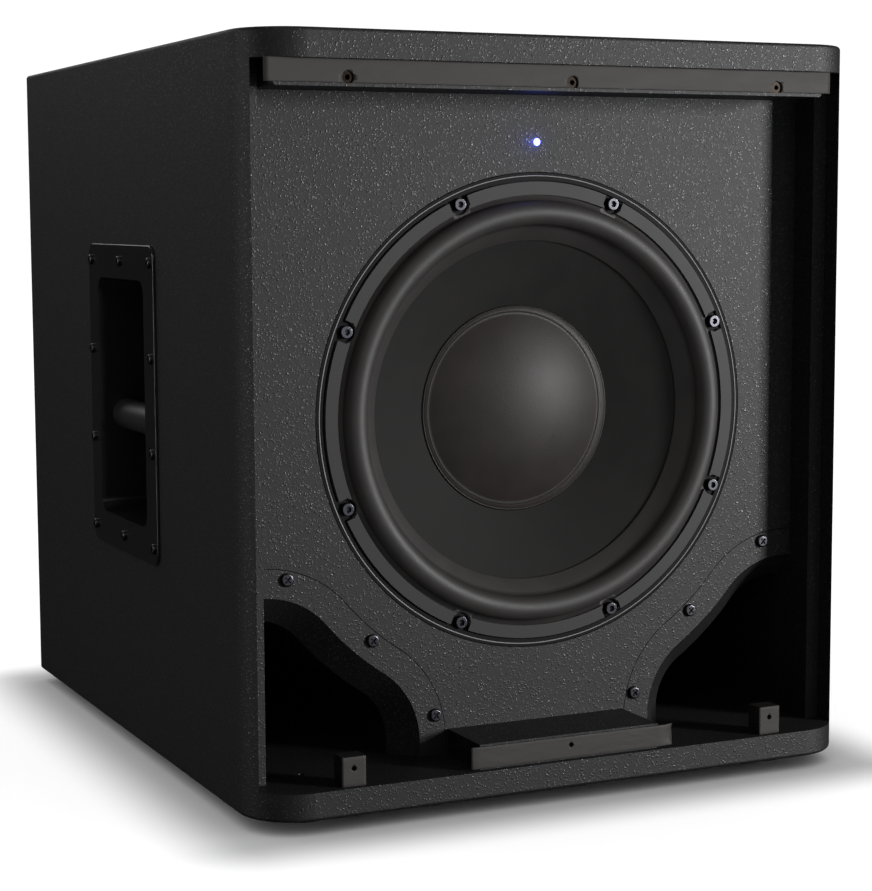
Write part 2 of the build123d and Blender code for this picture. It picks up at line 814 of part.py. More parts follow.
handle_screw_planes = []
for name, side in (("left", -1), ("right", 1)):
    finish(handle_cup(side), f"handle_cup_{name}")
    finish(handle_bar(side), f"handle_bar_{name}")
    plate_plane = handle_plane(side, cabinet_width / 2 + handle_plate_proud)
    handle_screw_planes += [
        Plane(
            origin=plate_plane.from_local_coords((u, v, 0)),
            x_dir=plate_plane.x_dir,
            z_dir=plate_plane.z_dir,
        )
        for u, v in handle_screw_spots
    ]
pan_screws("handle_screws", handle_screw_planes, handle_shank, handle_shank_length, 3.6, 2.0)

# ---------------------------------------------------------------- back and amplifier
amp_z = middle_z
amp_face = back_face + amp_plate
amp_screw_inset = 6.0
amp_screw_x = amp_width / 2 - amp_screw_inset
amp_screw_z = amp_height / 2 - amp_screw_inset
amp_screw_spots = [
    (x, amp_z + z)
    for x in (-amp_screw_x, 0, amp_screw_x)
    for z in (-amp_screw_z, 0, amp_screw_z)
    if x or z
]
amp_shank = 1.8
with BuildPart() as back_panel:
    with BuildSketch(facing_back(back_inner)):
        with Locations((0, middle_z)):
            Rectangle(inner_width, inner_height)
        with Locations((0, amp_z)):
            Rectangle(amp_width - 2 * amp_ledge, amp_height - 2 * amp_ledge, mode=Mode.SUBTRACT)
        with Locations(*amp_screw_spots):
            Circle(amp_shank + screw_fit, mode=Mode.SUBTRACT)
    extrude(amount=back_thickness)
finish(back_panel.part, "back_panel")

# Places on the amplifier's plate, as distances across and up from its middle.
level_spot = (-84.0, amp_z - 36)
crossover_spot = (-34.0, amp_z - 36)
polarity_spot = (12.0, amp_z - 36)
sink_size = (230.0, 128.0)
sink_spot = (0.0, amp_z + 78)
socket_spots = [(-84.0, amp_z - 100), (-46.0, amp_z - 100)]
rocker_spot = (84.0, amp_z - 52)
inlet_spot = (84.0, amp_z - 108)
socket_radius = 11.0
inlet_size = (27.0, 20.0)
rocker_frame_size = (19.0, 31.0)
shaft_clear = 0.6

with BuildPart() as amp_panel:
    with BuildSketch(facing_back(back_face)):
        with Locations((0, amp_z)):
            RectangleRounded(amp_width, amp_height, 4)
        with Locations(level_spot, crossover_spot):
            Circle(knob_shaft + shaft_clear, mode=Mode.SUBTRACT)
        with Locations(polarity_spot):
            Circle(button_radius + moving_gap, mode=Mode.SUBTRACT)
        with Locations(*socket_spots):
            Circle(socket_radius + screw_fit, mode=Mode.SUBTRACT)
        with Locations(rocker_spot):
            Rectangle(rocker_frame_size[0] - 3, rocker_frame_size[1] - 3, mode=Mode.SUBTRACT)
        with Locations(inlet_spot):
            Rectangle(inlet_size[0] + 2, inlet_size[1] + 2, mode=Mode.SUBTRACT)
        with Locations(*amp_screw_spots):
            Circle(amp_shank + screw_fit, mode=Mode.SUBTRACT)
    extrude(amount=amp_plate)
finish(amp_panel.part, "amp_panel")

fins = 21
fin_thickness = 2.0
fin_height = 12.0
sink_base = 4.0
with BuildPart() as heat_sink:
    with BuildSketch(facing_back(amp_face)):
        with Locations(sink_spot):
            Rectangle(*sink_size)
    extrude(amount=sink_base)
    with BuildSketch(facing_back(amp_face + sink_base)):
        with Locations(sink_spot):
            with GridLocations((sink_size[0] - fin_thickness) / (fins - 1), 0, fins, 1):
                Rectangle(fin_thickness, sink_size[1])
    extrude(amount=fin_height)
finish(heat_sink.part, "heat_sink")

amp_screw_planes = [
    Plane(origin=(-x, amp_face, z), x_dir=(-1, 0, 0), z_dir=(0, 1, 0)) for x, z in amp_screw_spots
]
pan_screws("amp_screws", amp_screw_planes, amp_shank, 16.0, 3.6, 2.0)

# Electronics behind the plate.
board_y = back_face - 30
board_thickness = 1.6
board_size = (amp_width - 50, amp_height - 60)
capacitor_radius = 12.0
capacitor_height = 35.0
capacitor_spots = [(x, amp_z + z) for x in (60, 20) for z in (70, 30)]
with BuildPart() as circuit_board:
    with BuildSketch(facing_back(board_y)):
        with Locations((0, amp_z)):
            Rectangle(*board_size)
    extrude(amount=board_thickness)
    with BuildSketch(facing_front(board_y)):
        with Locations(*capacitor_spots):
            Circle(capacitor_radius)
    extrude(amount=capacitor_height)
finish(circuit_board.part, "circuit_board")

transformer_spot = (-50.0, amp_z - 60)
transformer_radius = 48.0
transformer_bore = 12.0
transformer_height = 42.0
with BuildPart() as transformer:
    with BuildSketch(facing_front(board_y)):
        with Locations(transformer_spot):
            Circle(transformer_radius)
            Circle(transformer_bore, mode=Mode.SUBTRACT)
    extrude(amount=transformer_height)
    fillet(transformer.edges().filter_by(GeomType.CIRCLE).group_by(Axis.Y)[0], 6)
finish(transformer.part, "transformer")

pillar_radius = 4.0
with BuildPart() as board_pillars:
    with BuildSketch(facing_back(board_y + board_thickness)):
        with Locations((0, amp_z)):
            with GridLocations(board_size[0] - 16, board_size[1] - 16, 2, 2):
                Circle(pillar_radius)
    extrude(amount=back_face - board_y - board_thickness)
finish(board_pillars.part, "board_pillars")

# Rotary controls: the pot stays on the plate, the shaft and knob turn.
pot_depth = 12.0
pot_width = 17.0
pot_floor = 3.0  # metal left behind the shaft's bore


def spot_plane(spot, y):
    return Plane(origin=(-spot[0], y, spot[1]), x_dir=(-1, 0, 0), z_dir=(0, 1, 0))


with BuildPart() as control_pots:
    for spot in (level_spot, crossover_spot):
        with BuildSketch(spot_plane(spot, back_face - pot_depth)):
            RectangleRounded(pot_width, pot_width, 2)
        extrude(amount=pot_depth)
        with BuildSketch(spot_plane(spot, back_face - pot_depth + pot_floor)):
            Circle(knob_shaft + running_fit)
        extrude(amount=pot_depth, mode=Mode.SUBTRACT)
finish(control_pots.part, "control_pots")

knob_gap = 1.0
knob_bore_depth = 9.0
knob_flutes = 18
flute_radius = 0.9
pointer_width = 1.2
shaft_end = back_face - pot_depth + pot_floor + 0.2
for name, spot in (("level", level_spot), ("crossover", crossover_spot)):
    with BuildPart() as shaft:
        with BuildSketch(spot_plane(spot, shaft_end)):
            Circle(knob_shaft)
        extrude(amount=amp_face + knob_gap + knob_bore_depth - shaft_end)
    finish(shaft.part, f"{name}_shaft")
    with BuildPart() as knob:
        with BuildSketch(spot_plane(spot, amp_face + knob_gap)):
            Circle(knob_radius)
        extrude(amount=knob_height, taper=3)
        fillet(knob.edges().group_by(Axis.Y)[-1], 1.0)
        with BuildSketch(spot_plane(spot, amp_face + knob_gap)):
            with PolarLocations(knob_radius + 0.5, knob_flutes, start_angle=180 / knob_flutes):
                Circle(flute_radius)
        extrude(amount=knob_height - 2.0, mode=Mode.SUBTRACT)
        with BuildSketch(spot_plane(spot, amp_face + knob_gap + knob_height - 0.8)):
            with Locations((0, knob_radius / 2)):
                Rectangle(pointer_width, knob_radius)
        extrude(amount=2, mode=Mode.SUBTRACT)
        with BuildSketch(spot_plane(spot, amp_face + knob_gap)):
            Circle(knob_shaft)
        extrude(amount=knob_bore_depth, mode=Mode.SUBTRACT)
    finish(knob.part, f"{name}_knob")

# Polarity push button in its switch body.
button_proud = 4.5
button_length = 6.0  # behind the plate
switch_depth = 16.0
switch_width = 13.0
with BuildPart() as polarity_button:
    with BuildSketch(spot_plane(polarity_spot, back_face - button_length)):
        Circle(button_radius)
    extrude(amount=button_length + amp_plate + button_proud)
    fillet(polarity_button.edges().group_by(Axis.Y)[-1], 0.8)
finish(polarity_button.part, "polarity_button")

with BuildPart() as polarity_switch:
    with BuildSketch(spot_plane(polarity_spot, back_face - switch_depth)):
        Rectangle(switch_width, switch_width)
    extrude(amount=switch_depth)
    well = button_length + button_travel + moving_gap
    with BuildSketch(spot_plane(polarity_spot, back_face - well)):
        Circle(button_radius + moving_gap)
    extrude(amount=well, mode=Mode.SUBTRACT)
finish(polarity_switch.part, "polarity_switch")

# Power rocker: a rounded cradle that swings about a pin just behind the plate.
rocker_pivot = Vector(-rocker_spot[0], amp_face - 2.0, rocker_spot[1])
rocker_rest = radians(rocker_swing / 2)
rocker_side = Plane(
    origin=rocker_pivot, x_dir=(0, cos(rocker_rest), -sin(rocker_rest)), z_dir=(1, 0, 0)
)
rocker_crown = 5.0
rocker_ridge = 7.0
rocker_pin = 1.5
with BuildPart() as power_rocker:
    with BuildSketch(rocker_side):
        Circle(rocker_radius)
        with BuildLine(mode=Mode.PRIVATE) as crown:
            Polyline(
                (-3 * rocker_radius, -2 * rocker_radius),
                (rocker_ridge, -2 * rocker_radius),
                (rocker_ridge, -rocker_radius),
                (rocker_crown, 0),
                (rocker_ridge, rocker_radius),
                (rocker_ridge, 2 * rocker_radius),
                (-3 * rocker_radius, 2 * rocker_radius),
                close=True,
            )
        make_face(crown.line, mode=Mode.INTERSECT)
        with Locations((-rocker_radius - 3, 0)):
            Rectangle(rocker_radius * 2, rocker_radius * 2, mode=Mode.SUBTRACT)
    extrude(amount=rocker_half_width, both=True)
    with BuildSketch(rocker_side):
        Circle(rocker_pin + running_fit)
    extrude(amount=rocker_half_width, both=True, mode=Mode.SUBTRACT)
finish(power_rocker.part, "power_rocker")

housing_flange = 1.5
housing_depth = 22.0
with BuildPart() as rocker_housing:
    with BuildSketch(spot_plane(rocker_spot, amp_face)):
        RectangleRounded(*rocker_frame_size, 1.5)
    extrude(amount=housing_flange)
    with BuildSketch(spot_plane(rocker_spot, amp_face)):
        Rectangle(rocker_frame_size[0] - 3.4, rocker_frame_size[1] - 3.4)
    extrude(amount=-housing_depth)
    with BuildSketch(spot_plane(rocker_spot, amp_face + housing_flange)):
        Rectangle(2 * (rocker_half_width + moving_gap), 2 * (rocker_radius + moving_gap))
    extrude(amount=2 - housing_depth, mode=Mode.SUBTRACT)
    with BuildSketch(Plane(origin=rocker_pivot, x_dir=(0, 1, 0), z_dir=(1, 0, 0))):
        Circle(rocker_pin)
    extrude(amount=rocker_half_width + moving_gap, both=True)
finish(rocker_housing.part, "rocker_housing")

# Mains inlet with three blades set back in its shroud.
inlet_depth = 16.0
inlet_key = 4.0  # the two cut corners that let the plug in one way up
flange_thickness = 2.0
with BuildPart() as mains_inlet:
    with BuildSketch(spot_plane(inlet_spot, amp_face)):
        RectangleRounded(inlet_size[0] + 12, inlet_size[1] + 6, 3)
    extrude(amount=flange_thickness)
    with BuildSketch(spot_plane(inlet_spot, amp_face)):
        Rectangle(inlet_size[0] + 1.6, inlet_size[1] + 1.6)
    extrude(amount=-inlet_depth - 3)
    with BuildSketch(spot_plane(inlet_spot, amp_face + flange_thickness)) as mouth:
        Rectangle(inlet_size[0] - 3, inlet_size[1] - 3.5)
        chamfer(mouth.vertices().group_by(Axis.Y)[-1], inlet_key)
    extrude(amount=-inlet_depth, mode=Mode.SUBTRACT)
finish(mains_inlet.part, "mains_inlet")

with BuildPart() as inlet_blades:
    with BuildSketch(spot_plane(inlet_spot, amp_face + flange_thickness - inlet_depth)):
        with Locations((-7, -2.0), (7, -2.0), (0, 2.0)):
            Rectangle(2, 4)
    extrude(amount=inlet_depth - 7)
finish(inlet_blades.part, "inlet_blades")

# Input and output sockets: a round shell with a jack bore and three contact holes.
jack_radius = 3.2
jack_depth = 20.0
socket_flange = (26.0, 31.0)
socket_depth = 24.0
contact_radius = 1.2
contact_ring = 5.6
with BuildPart() as signal_sockets:
    for spot in socket_spots:
        with BuildSketch(spot_plane(spot, amp_face)):
            RectangleRounded(*socket_flange, 4)
        extrude(amount=flange_thickness)
        with BuildSketch(spot_plane(spot, amp_face)):
            Circle(socket_radius)
        extrude(amount=-socket_depth)
        with BuildSketch(spot_plane(spot, amp_face + flange_thickness)):
            Circle(socket_radius - 1.2)
            Circle(socket_radius - 2.6, mode=Mode.SUBTRACT)
        extrude(amount=-10, mode=Mode.SUBTRACT)
        with BuildSketch(spot_plane(spot, amp_face + flange_thickness)):
            Circle(jack_radius)
        extrude(amount=-jack_depth, mode=Mode.SUBTRACT)
        with BuildSketch(spot_plane(spot, amp_face + flange_thickness)):
            with PolarLocations(contact_ring, 3, start_angle=30):
                Circle(contact_radius)
        extrude(amount=-12, mode=Mode.SUBTRACT)
finish(signal_sockets.part, "signal_sockets")

# ---------------------------------------------------------------- inside and underneath
brace_depth = 183.0
brace_thickness = 15.0
brace_window = (262.0, 300.0)
with BuildPart() as cabinet_brace:
    with BuildSketch(facing_front(front + brace_depth + brace_thickness)):
        with Locations((0, middle_z)):
            Rectangle(inner_width, inner_height)
        with Locations((0, ceiling_z - 40)):
            RectangleRounded(*brace_window, 20, align=(Align.CENTER, Align.MAX), mode=Mode.SUBTRACT)
        for side in (-1, 1):
            add(port_profile(side, port_duct_wall - port_bevel + fit), mode=Mode.SUBTRACT)
    extrude(amount=brace_thickness)
finish(cabinet_brace.part, "cabinet_brace")

wadding_thickness = 25.0
wadding_length = 150.0
with BuildPart() as damping_wadding:
    with BuildSketch(Plane.XY.offset(ceiling_z - wadding_thickness)):
        with Locations((0, front + brace_depth + brace_thickness + 10 + wadding_length / 2)):
            RectangleRounded(inner_width - 30, wadding_length, 12)
    extrude(amount=wadding_thickness)
finish(damping_wadding.part, "damping_wadding")

foot_recess = 6.0  # up to the screw's head
foot_bore = 6.0
with BuildPart() as rubber_feet:
    for x, y in feet_spots:
        with BuildSketch(Plane(origin=(x, y, underside), z_dir=(0, 0, -1))):
            Circle(foot_radius)
        extrude(amount=foot_height, taper=8)
    fillet(rubber_feet.edges().group_by(Axis.Z)[0], 1.5)
    with BuildSketch(Plane.XY):
        with Locations(*feet_spots):
            Circle(foot_bore)
    extrude(amount=foot_recess, mode=Mode.SUBTRACT)
    with BuildSketch(Plane.XY):
        with Locations(*feet_spots):
            Circle(foot_screw_radius + screw_fit)
    extrude(amount=foot_height, mode=Mode.SUBTRACT)
finish(rubber_feet.part, "rubber_feet")

foot_screw_planes = [
    Plane(origin=(x, y, foot_recess), x_dir=(1, 0, 0), z_dir=(0, 0, -1))
    for x, y in feet_spots
]
pan_screws("foot_screws", foot_screw_planes, foot_screw_radius, foot_screw_length, 4.6, 2.5)
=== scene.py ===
# %% [markdown]
# # A ported 12-inch powered subwoofer
#
# The cabinet, the driver, the handles and the amplifier come from the CAD frame, already in place
# and at their real size in metres. This lesson gives each of them the finish it was made with, and
# makes the soft pieces that CAD only roughs out: the rubber surround, the cloth spider, the foam
# tapes, the flexible leads and the wadding.

# %% Load the frame
import json
import math

import bmesh
import bpy
import numpy as np
from mathutils import Matrix, Vector, noise


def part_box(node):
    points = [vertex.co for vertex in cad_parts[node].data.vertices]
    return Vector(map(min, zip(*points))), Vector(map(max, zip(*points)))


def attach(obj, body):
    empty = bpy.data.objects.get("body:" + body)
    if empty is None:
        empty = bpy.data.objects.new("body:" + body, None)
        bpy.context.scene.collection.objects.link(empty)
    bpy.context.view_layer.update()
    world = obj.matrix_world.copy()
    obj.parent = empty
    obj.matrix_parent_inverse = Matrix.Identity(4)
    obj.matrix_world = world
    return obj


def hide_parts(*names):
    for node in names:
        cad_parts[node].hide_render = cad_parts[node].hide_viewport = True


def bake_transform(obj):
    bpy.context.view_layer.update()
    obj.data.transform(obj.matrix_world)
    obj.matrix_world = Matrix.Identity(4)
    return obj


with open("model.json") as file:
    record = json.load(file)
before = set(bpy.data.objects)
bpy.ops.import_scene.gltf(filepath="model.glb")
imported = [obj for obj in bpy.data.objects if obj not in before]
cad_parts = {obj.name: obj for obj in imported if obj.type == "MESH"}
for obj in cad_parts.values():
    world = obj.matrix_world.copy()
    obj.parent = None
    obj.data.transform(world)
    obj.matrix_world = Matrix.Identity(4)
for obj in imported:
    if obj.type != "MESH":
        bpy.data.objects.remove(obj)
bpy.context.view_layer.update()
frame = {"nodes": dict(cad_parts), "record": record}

MM = 0.001


def show(name, data):
    """Puts a mesh, a lamp or a camera into the scene."""
    shown = bpy.data.objects.new(name, data)
    bpy.context.scene.collection.objects.link(shown)
    return shown


# %% [markdown]
# ## The places everything else is measured from
#
# A speaker is turned work set in joinery, so nearly every soft piece is round about one axis: the
# driver's. Its height, and the depth of the baffle's face, are read off the CAD pieces once.

# %% Places read from the CAD pieces
basket_low, basket_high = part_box("driver_basket")
driver_z = (basket_low.z + basket_high.z) / 2
baffle_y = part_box("front_baffle")[0].y
cabinet_low, cabinet_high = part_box("bottom_panel")
floor_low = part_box("rubber_feet")[0].z
print("driver axis at z", round(driver_z, 4), "baffle face at y", round(baffle_y, 4))

# %% [markdown]
# ## Camera
#
# The lens is moderately long, so the cabinet's edges stay nearly parallel. It stands to the left of
# the cabinet and a little above its middle, turned towards the driver and tipped slightly down.

# %% The camera
CAMERA_PLACE = Vector((-0.6579, -1.4517, 0.3834))
CAMERA_TURN = math.radians(25.095)  # from straight ahead towards the right
CAMERA_DIP = math.radians(6.264)
CAMERA_ROLL = math.radians(-0.249)
LENS_MM = 86.16

camera = show("camera", bpy.data.cameras.new("camera"))
camera.data.lens = LENS_MM
camera.data.sensor_width = 36.0
camera.data.clip_start = 0.05
ahead = Vector((
    math.sin(CAMERA_TURN) * math.cos(CAMERA_DIP),
    math.cos(CAMERA_TURN) * math.cos(CAMERA_DIP),
    -math.sin(CAMERA_DIP),
))
turn = ahead.to_track_quat("-Z", "Y").to_matrix().to_4x4()
camera.matrix_world = Matrix.Translation(CAMERA_PLACE) @ turn @ Matrix.Rotation(CAMERA_ROLL, 4, "Z")
bpy.context.scene.camera = camera
print("camera", LENS_MM, "mm lens")

# %% [markdown]
# ## Colours and nodes
#
# A few helpers carry all the materials. `linear` turns the hex colours that paint and plastic charts
# use into the linear light that a renderer adds up. `add` puts one node in a tree, sets its
# properties and inputs, and links any input that is given another node's output.

# %% Helpers for materials


def linear(code):
    """A colour such as "#1a1a1c" as linear red, green and blue, with a full alpha."""
    out = []
    for at in (1, 3, 5):
        value = int(code[at:at + 2], 16) / 255
        out.append(value / 12.92 if value <= 0.04045 else ((value + 0.055) / 1.055) ** 2.4)
    return (*out, 1.0)


def per_mm(size_mm):
    """The scale that gives a texture one cell to each size_mm of the real surface."""
    return 1 / (size_mm * MM)


def add(tree, kind, inputs=None, **settings):
    """One shader node of a kind, such as "Math"; settings are its properties, inputs are values or
    other nodes' outputs."""
    made = tree.nodes.new("ShaderNode" + kind)
    for name, value in settings.items():
        setattr(made, name, value)
    for name, value in (inputs or {}).items():
        if isinstance(value, bpy.types.NodeSocket):
            tree.links.new(value, made.inputs[name])
        else:
            made.inputs[name].default_value = value
    return made


def start(name, **shader):
    """A new material: its tree, its Principled shader and the object coordinates, in metres."""
    made = bpy.data.materials.new(name)
    made.use_nodes = True
    tree = made.node_tree
    tree.nodes.clear()
    principled = add(tree, "BsdfPrincipled", shader)
    out = add(tree, "OutputMaterial", {"Surface": principled.outputs["BSDF"]})
    out.is_active_output = True
    place = add(tree, "TexCoord").outputs["Object"]
    return made, tree, principled, place


def mottle(tree, shader, pattern, dark, light, smooth, rough):
    """Varies a shader's colour and roughness by a 0 to 1 pattern."""
    colour = add(tree, "Mix", {"Factor": pattern}, data_type="RGBA")
    colour.inputs["A"].default_value = linear(dark)
    colour.inputs["B"].default_value = linear(light)
    tree.links.new(colour.outputs["Result"], shader.inputs["Base Color"])
    level = add(tree, "MapRange", {"Value": pattern, "To Min": smooth, "To Max": rough})
    tree.links.new(level.outputs["Result"], shader.inputs["Roughness"])


def emboss(tree, shader, height, depth_mm):
    """Raises a shader's surface by a 0 to 1 height times a depth in millimetres."""
    bump = add(tree, "Bump", {"Height": height, "Distance": depth_mm * MM, "Strength": 1.0})
    tree.links.new(bump.outputs["Normal"], shader.inputs["Normal"])


materials = {}
print("#808080 in linear light is", round(linear("#808080")[0], 3))

# %% [markdown]
# ## Splatter-textured cabinet paint
#
# Hard-wearing cabinet paint is sprayed on in two coats: a wet flood coat that dries satin and
# nearly flat, then a dry spatter at low pressure whose drops land separately, 1 to 2 mm across and
# in loose clusters. Each drop is a glossy little dome, so a board that faces the light glitters
# and one that doesn't is nearly black. A Voronoi pattern gives every drop its own cell. A chance
# drawn for each cell, with slower noise for the clusters, decides which drops landed.

# %% Cabinet paint
DROP_MM = 1.9
DROP_RUN_MM = 2.6  # how far wet drops run into uneven shapes
CLUSTER_MM = 9.0
FLOOD_GRAIN_MM = 0.9
FLOOD_SHARE = 0.3  # the flood coat's own grain, against a drop's height
DROP_CORE, DROP_EDGE = 0.08, 0.5  # where a drop's dome starts to fall and where it ends
LANDED_FROM, LANDED_TO = 0.4, 1.15  # the draw at which a drop starts to show and is whole
PAINT_RELIEF_MM = 0.15


def splatter_paint(name, relief_mm):
    """Drops over a flood coat: where one landed, the paint is smoother and a shade paler."""
    made, tree, shader, place = start(name, **{"Specular IOR Level": 0.38, "IOR": 1.5})
    wander = add(tree, "TexNoise", {"Vector": place, "Scale": per_mm(DROP_MM), "Detail": 1.0})
    run = add(
        tree,
        "VectorMath",
        {0: wander.outputs["Color"], 1: (DROP_RUN_MM * MM,) * 3, 2: place},
        operation="MULTIPLY_ADD",
    )
    drops = add(tree, "TexVoronoi", {"Vector": run.outputs["Vector"], "Scale": per_mm(DROP_MM)})
    dome = add(
        tree,
        "MapRange",
        {
            "Value": drops.outputs["Distance"],
            "From Min": DROP_CORE,
            "From Max": DROP_EDGE,
            "To Min": 1.0,
            "To Max": 0.0,
        },
        interpolation_type="SMOOTHSTEP",
    )
    chance = add(tree, "SeparateColor", {"Color": drops.outputs["Color"]})
    cluster = add(tree, "TexNoise", {"Vector": place, "Scale": per_mm(CLUSTER_MM), "Detail": 2.0})
    draw = add(tree, "Math", {0: chance.outputs["Red"], 1: cluster.outputs["Fac"]}, operation="ADD")
    landed = add(
        tree, "MapRange", {"Value": draw.outputs["Value"], "From Min": LANDED_FROM, "From Max": LANDED_TO}
    )
    drop = add(tree, "Math", {0: dome.outputs["Result"], 1: landed.outputs["Result"]}, operation="MULTIPLY")
    flood = add(tree, "TexNoise", {"Vector": place, "Scale": per_mm(FLOOD_GRAIN_MM), "Detail": 3.0})
    height = add(
        tree,
        "Math",
        {0: flood.outputs["Fac"], 1: FLOOD_SHARE, 2: drop.outputs["Value"]},
        operation="MULTIPLY_ADD",
    )
    mottle(tree, shader, drop.outputs["Value"], "#080809", "#1c1c1e", 0.6, 0.24)
    emboss(tree, shader, height.outputs["Value"], relief_mm)
    return made


# Sprayed wet, then spattered: black in the shade, glittering where it faces the light.
materials["textured_black_paint"] = splatter_paint("splatter_textured_cabinet_paint", PAINT_RELIEF_MM)
print("paint drops", DROP_MM, "mm apart")

# %% [markdown]
# ## Moulded plastics and rubbers
#
# Plastic takes its surface from the steel mould: a fine spark-eroded grain on a handle, polish on
# a switch. One recipe serves them all, with the grain's size in millimetres, its depth, and the
# darkest and lightest tone of the pigment.

# %% Moulded parts
CLOUD_MM = 40  # how far apart a skin's slow changes of tone are


def moulded(name, dark, light, grain_mm, relief_mm, smooth, rough, ior=1.5):
    """A skin with a fine even grain, and a slow cloud that shifts its tone and its gloss a little."""
    made, tree, shader, place = start(name, **{"IOR": ior})
    grain = add(
        tree, "TexNoise", {"Vector": place, "Scale": per_mm(grain_mm), "Detail": 4.0, "Roughness": 0.6}
    )
    cloud = add(tree, "TexNoise", {"Vector": place, "Scale": per_mm(CLOUD_MM), "Detail": 3.0})
    mottle(tree, shader, cloud.outputs["Fac"], dark, light, smooth, rough)
    emboss(tree, shader, grain.outputs["Fac"], relief_mm)
    return made


# Each row: name, darkest and lightest tone, grain and relief in mm, roughness from and to, and the
# index of refraction where it isn't 1.5.
MOULDED = {
    # ABS left as it comes from a coarse spark-eroded tool: dull, so the ducts' mouths read as holes.
    "duct_plastic": ("matt_moulded_abs_duct", "#050505", "#090909", 0.8, 0.05, 0.55, 0.7),
    # ABS from a finely eroded tool: a satin plate with soft, clear highlights on its edges.
    "handle_plastic": ("satin_moulded_abs_handle", "#060607", "#0b0b0c", 0.7, 0.02, 0.2, 0.27),
    # A soft-touch overmould on the carrying bar: greyer and duller than the plate.
    "handle_grip": ("satin_moulded_grip", "#0b0b0c", "#131314", 1.0, 0.04, 0.4, 0.5),
    # Grained all over so that fingers hold it: a low, even sheen.
    "knob_plastic": ("fine_grained_knob_plastic", "#0b0b0c", "#121213", 0.5, 0.04, 0.42, 0.5),
    # Moulded against polished steel: the one really glossy plastic.
    "switch_plastic": ("polished_switch_plastic", "#070708", "#0c0c0d", 2.0, 0.01, 0.16, 0.24),
    # Glass fibres come up to the skin as it cools: a dry, slightly pale black.
    "socket_plastic": ("glass_filled_nylon_socket", "#0a0a0a", "#121212", 0.6, 0.04, 0.42, 0.55),
    # Pressed and cured in a hot mould: matt, with a faint bloom.
    "foot_rubber": ("moulded_foot_rubber", "#0a0a0a", "#131313", 1.2, 0.05, 0.6, 0.75, 1.52),
    # Stamped from foamed rubber sheet: dull, with no highlight to speak of.
    "gasket_foam": ("driver_gasket_rubber", "#121213", "#1a1a1b", 1.4, 0.05, 0.55, 0.65, 1.4),
    # Paper soaked in phenolic resin and pressed hot: brown and glassy.
    "terminal_board": ("phenolic_terminal_board", "#2a1a10", "#3a2415", 1.5, 0.02, 0.3, 0.42, 1.6),
    # Wound on under tension: a yellow film with long soft highlights.
    "transformer_tape": ("wound_polyester_tape", "#2c2508", "#40360f", 3.0, 0.05, 0.25, 0.4, 1.57),
}
for slot, recipe in MOULDED.items():
    materials[slot] = moulded(*recipe)
print(len(materials), "materials so far")

# %% [markdown]
# ## Metals
#
# Bare metals keep the marks of the tool: turned parts have rings, plate has a grain. Coated ones
# hide them under powder, enamel or plating, which is dark, a little uneven, and glossier than it
# is coloured.

# %% Metal parts


def bare_metal(name, dark, light, smooth, rough, stretch, grain_mm=0.4, relief_mm=0.01):
    """stretch is how much longer the tool marks are along each axis than they are wide."""
    made, tree, shader, place = start(name, **{"Metallic": 1.0})
    along = add(tree, "Mapping", {"Vector": place, "Scale": tuple(1 / s for s in stretch)})
    marks = add(
        tree, "TexNoise", {"Vector": along.outputs["Vector"], "Scale": per_mm(grain_mm), "Detail": 3.0}
    )
    mottle(tree, shader, marks.outputs["Fac"], dark, light, smooth, rough)
    emboss(tree, shader, marks.outputs["Fac"], relief_mm)
    return made


# Each row: name, darkest and lightest tone, roughness from and to, and the stretch of its marks.
BARE_METALS = {
    # Pressed plate, barrel plated in zinc: grey with a soft, slightly streaked shine.
    "motor_steel": ("zinc_plated_mild_steel", "#8b8d90", "#b4b6b9", 0.28, 0.45, (1, 12, 1)),
    # Sheet dipped in tin and folded to a can: paler and a little sharper.
    "pot_steel": ("tinned_steel_can", "#8f9193", "#bcbdbe", 0.25, 0.4, (6, 1, 1)),
    # Bar turned on a lathe: fine rings round the axis draw the highlight out sideways.
    "shaft_alloy": ("turned_aluminium_shaft", "#b9babc", "#d6d7d8", 0.22, 0.35, (8, 1, 8)),
    # Bar turned and threaded: yellow, with the same rings.
    "pillar_brass": ("turned_brass", "#a98a4e", "#c9ad70", 0.22, 0.36, (8, 1, 8)),
    # Knurled inserts darkened in hot oil: a brown-black with a dull gleam.
    "brass_insert": ("oil_blackened_brass_insert", "#14110f", "#26211d", 0.34, 0.48, (6, 1, 6)),
    # Foil anodised and rolled into a tube: pale grey and a little frosted.
    "former_foil": ("anodised_aluminium_foil", "#9a9ca0", "#c2c4c8", 0.3, 0.42, (1, 10, 1)),
    # Enamelled wire laid turn on turn: copper seen through a thin brown lacquer.
    "coil_wire": ("enamelled_copper_winding", "#8a4220", "#b4632f", 0.25, 0.36, (8, 0.6, 8)),
}
for slot, recipe in BARE_METALS.items():
    materials[slot] = bare_metal(*recipe)

# Enamel and ferrite aren't metal to the eye, so they take the moulded recipe.
# Sprayed on the pressed panel and baked: even satin black.
materials["amp_enamel"] = moulded("satin_black_enamel", "#0c0c0d", "#131315", 0.5, 0.02, 0.36, 0.46)
# Sintered from powder and ground flat: charcoal, with a dull mineral shine.
materials["ferrite"] = moulded("ground_ferrite", "#2a2a2d", "#38383b", 0.5, 0.03, 0.45, 0.6, 2.2)
print(len(materials), "materials so far")

# %% [markdown]
# The driver's frame is a casting, powder coated and then sealed matt. Round its rim runs one fine
# raised bead, smoother and painted pale as a highlight: a bright line between two black ones.

# %% Driver's frame
BEAD_RADIUS_MM = 155.4
BEAD_WIDTH_MM = 1.1
POWDER_GRAIN_MM = 0.6
POWDER_RELIEF_MM = 0.03


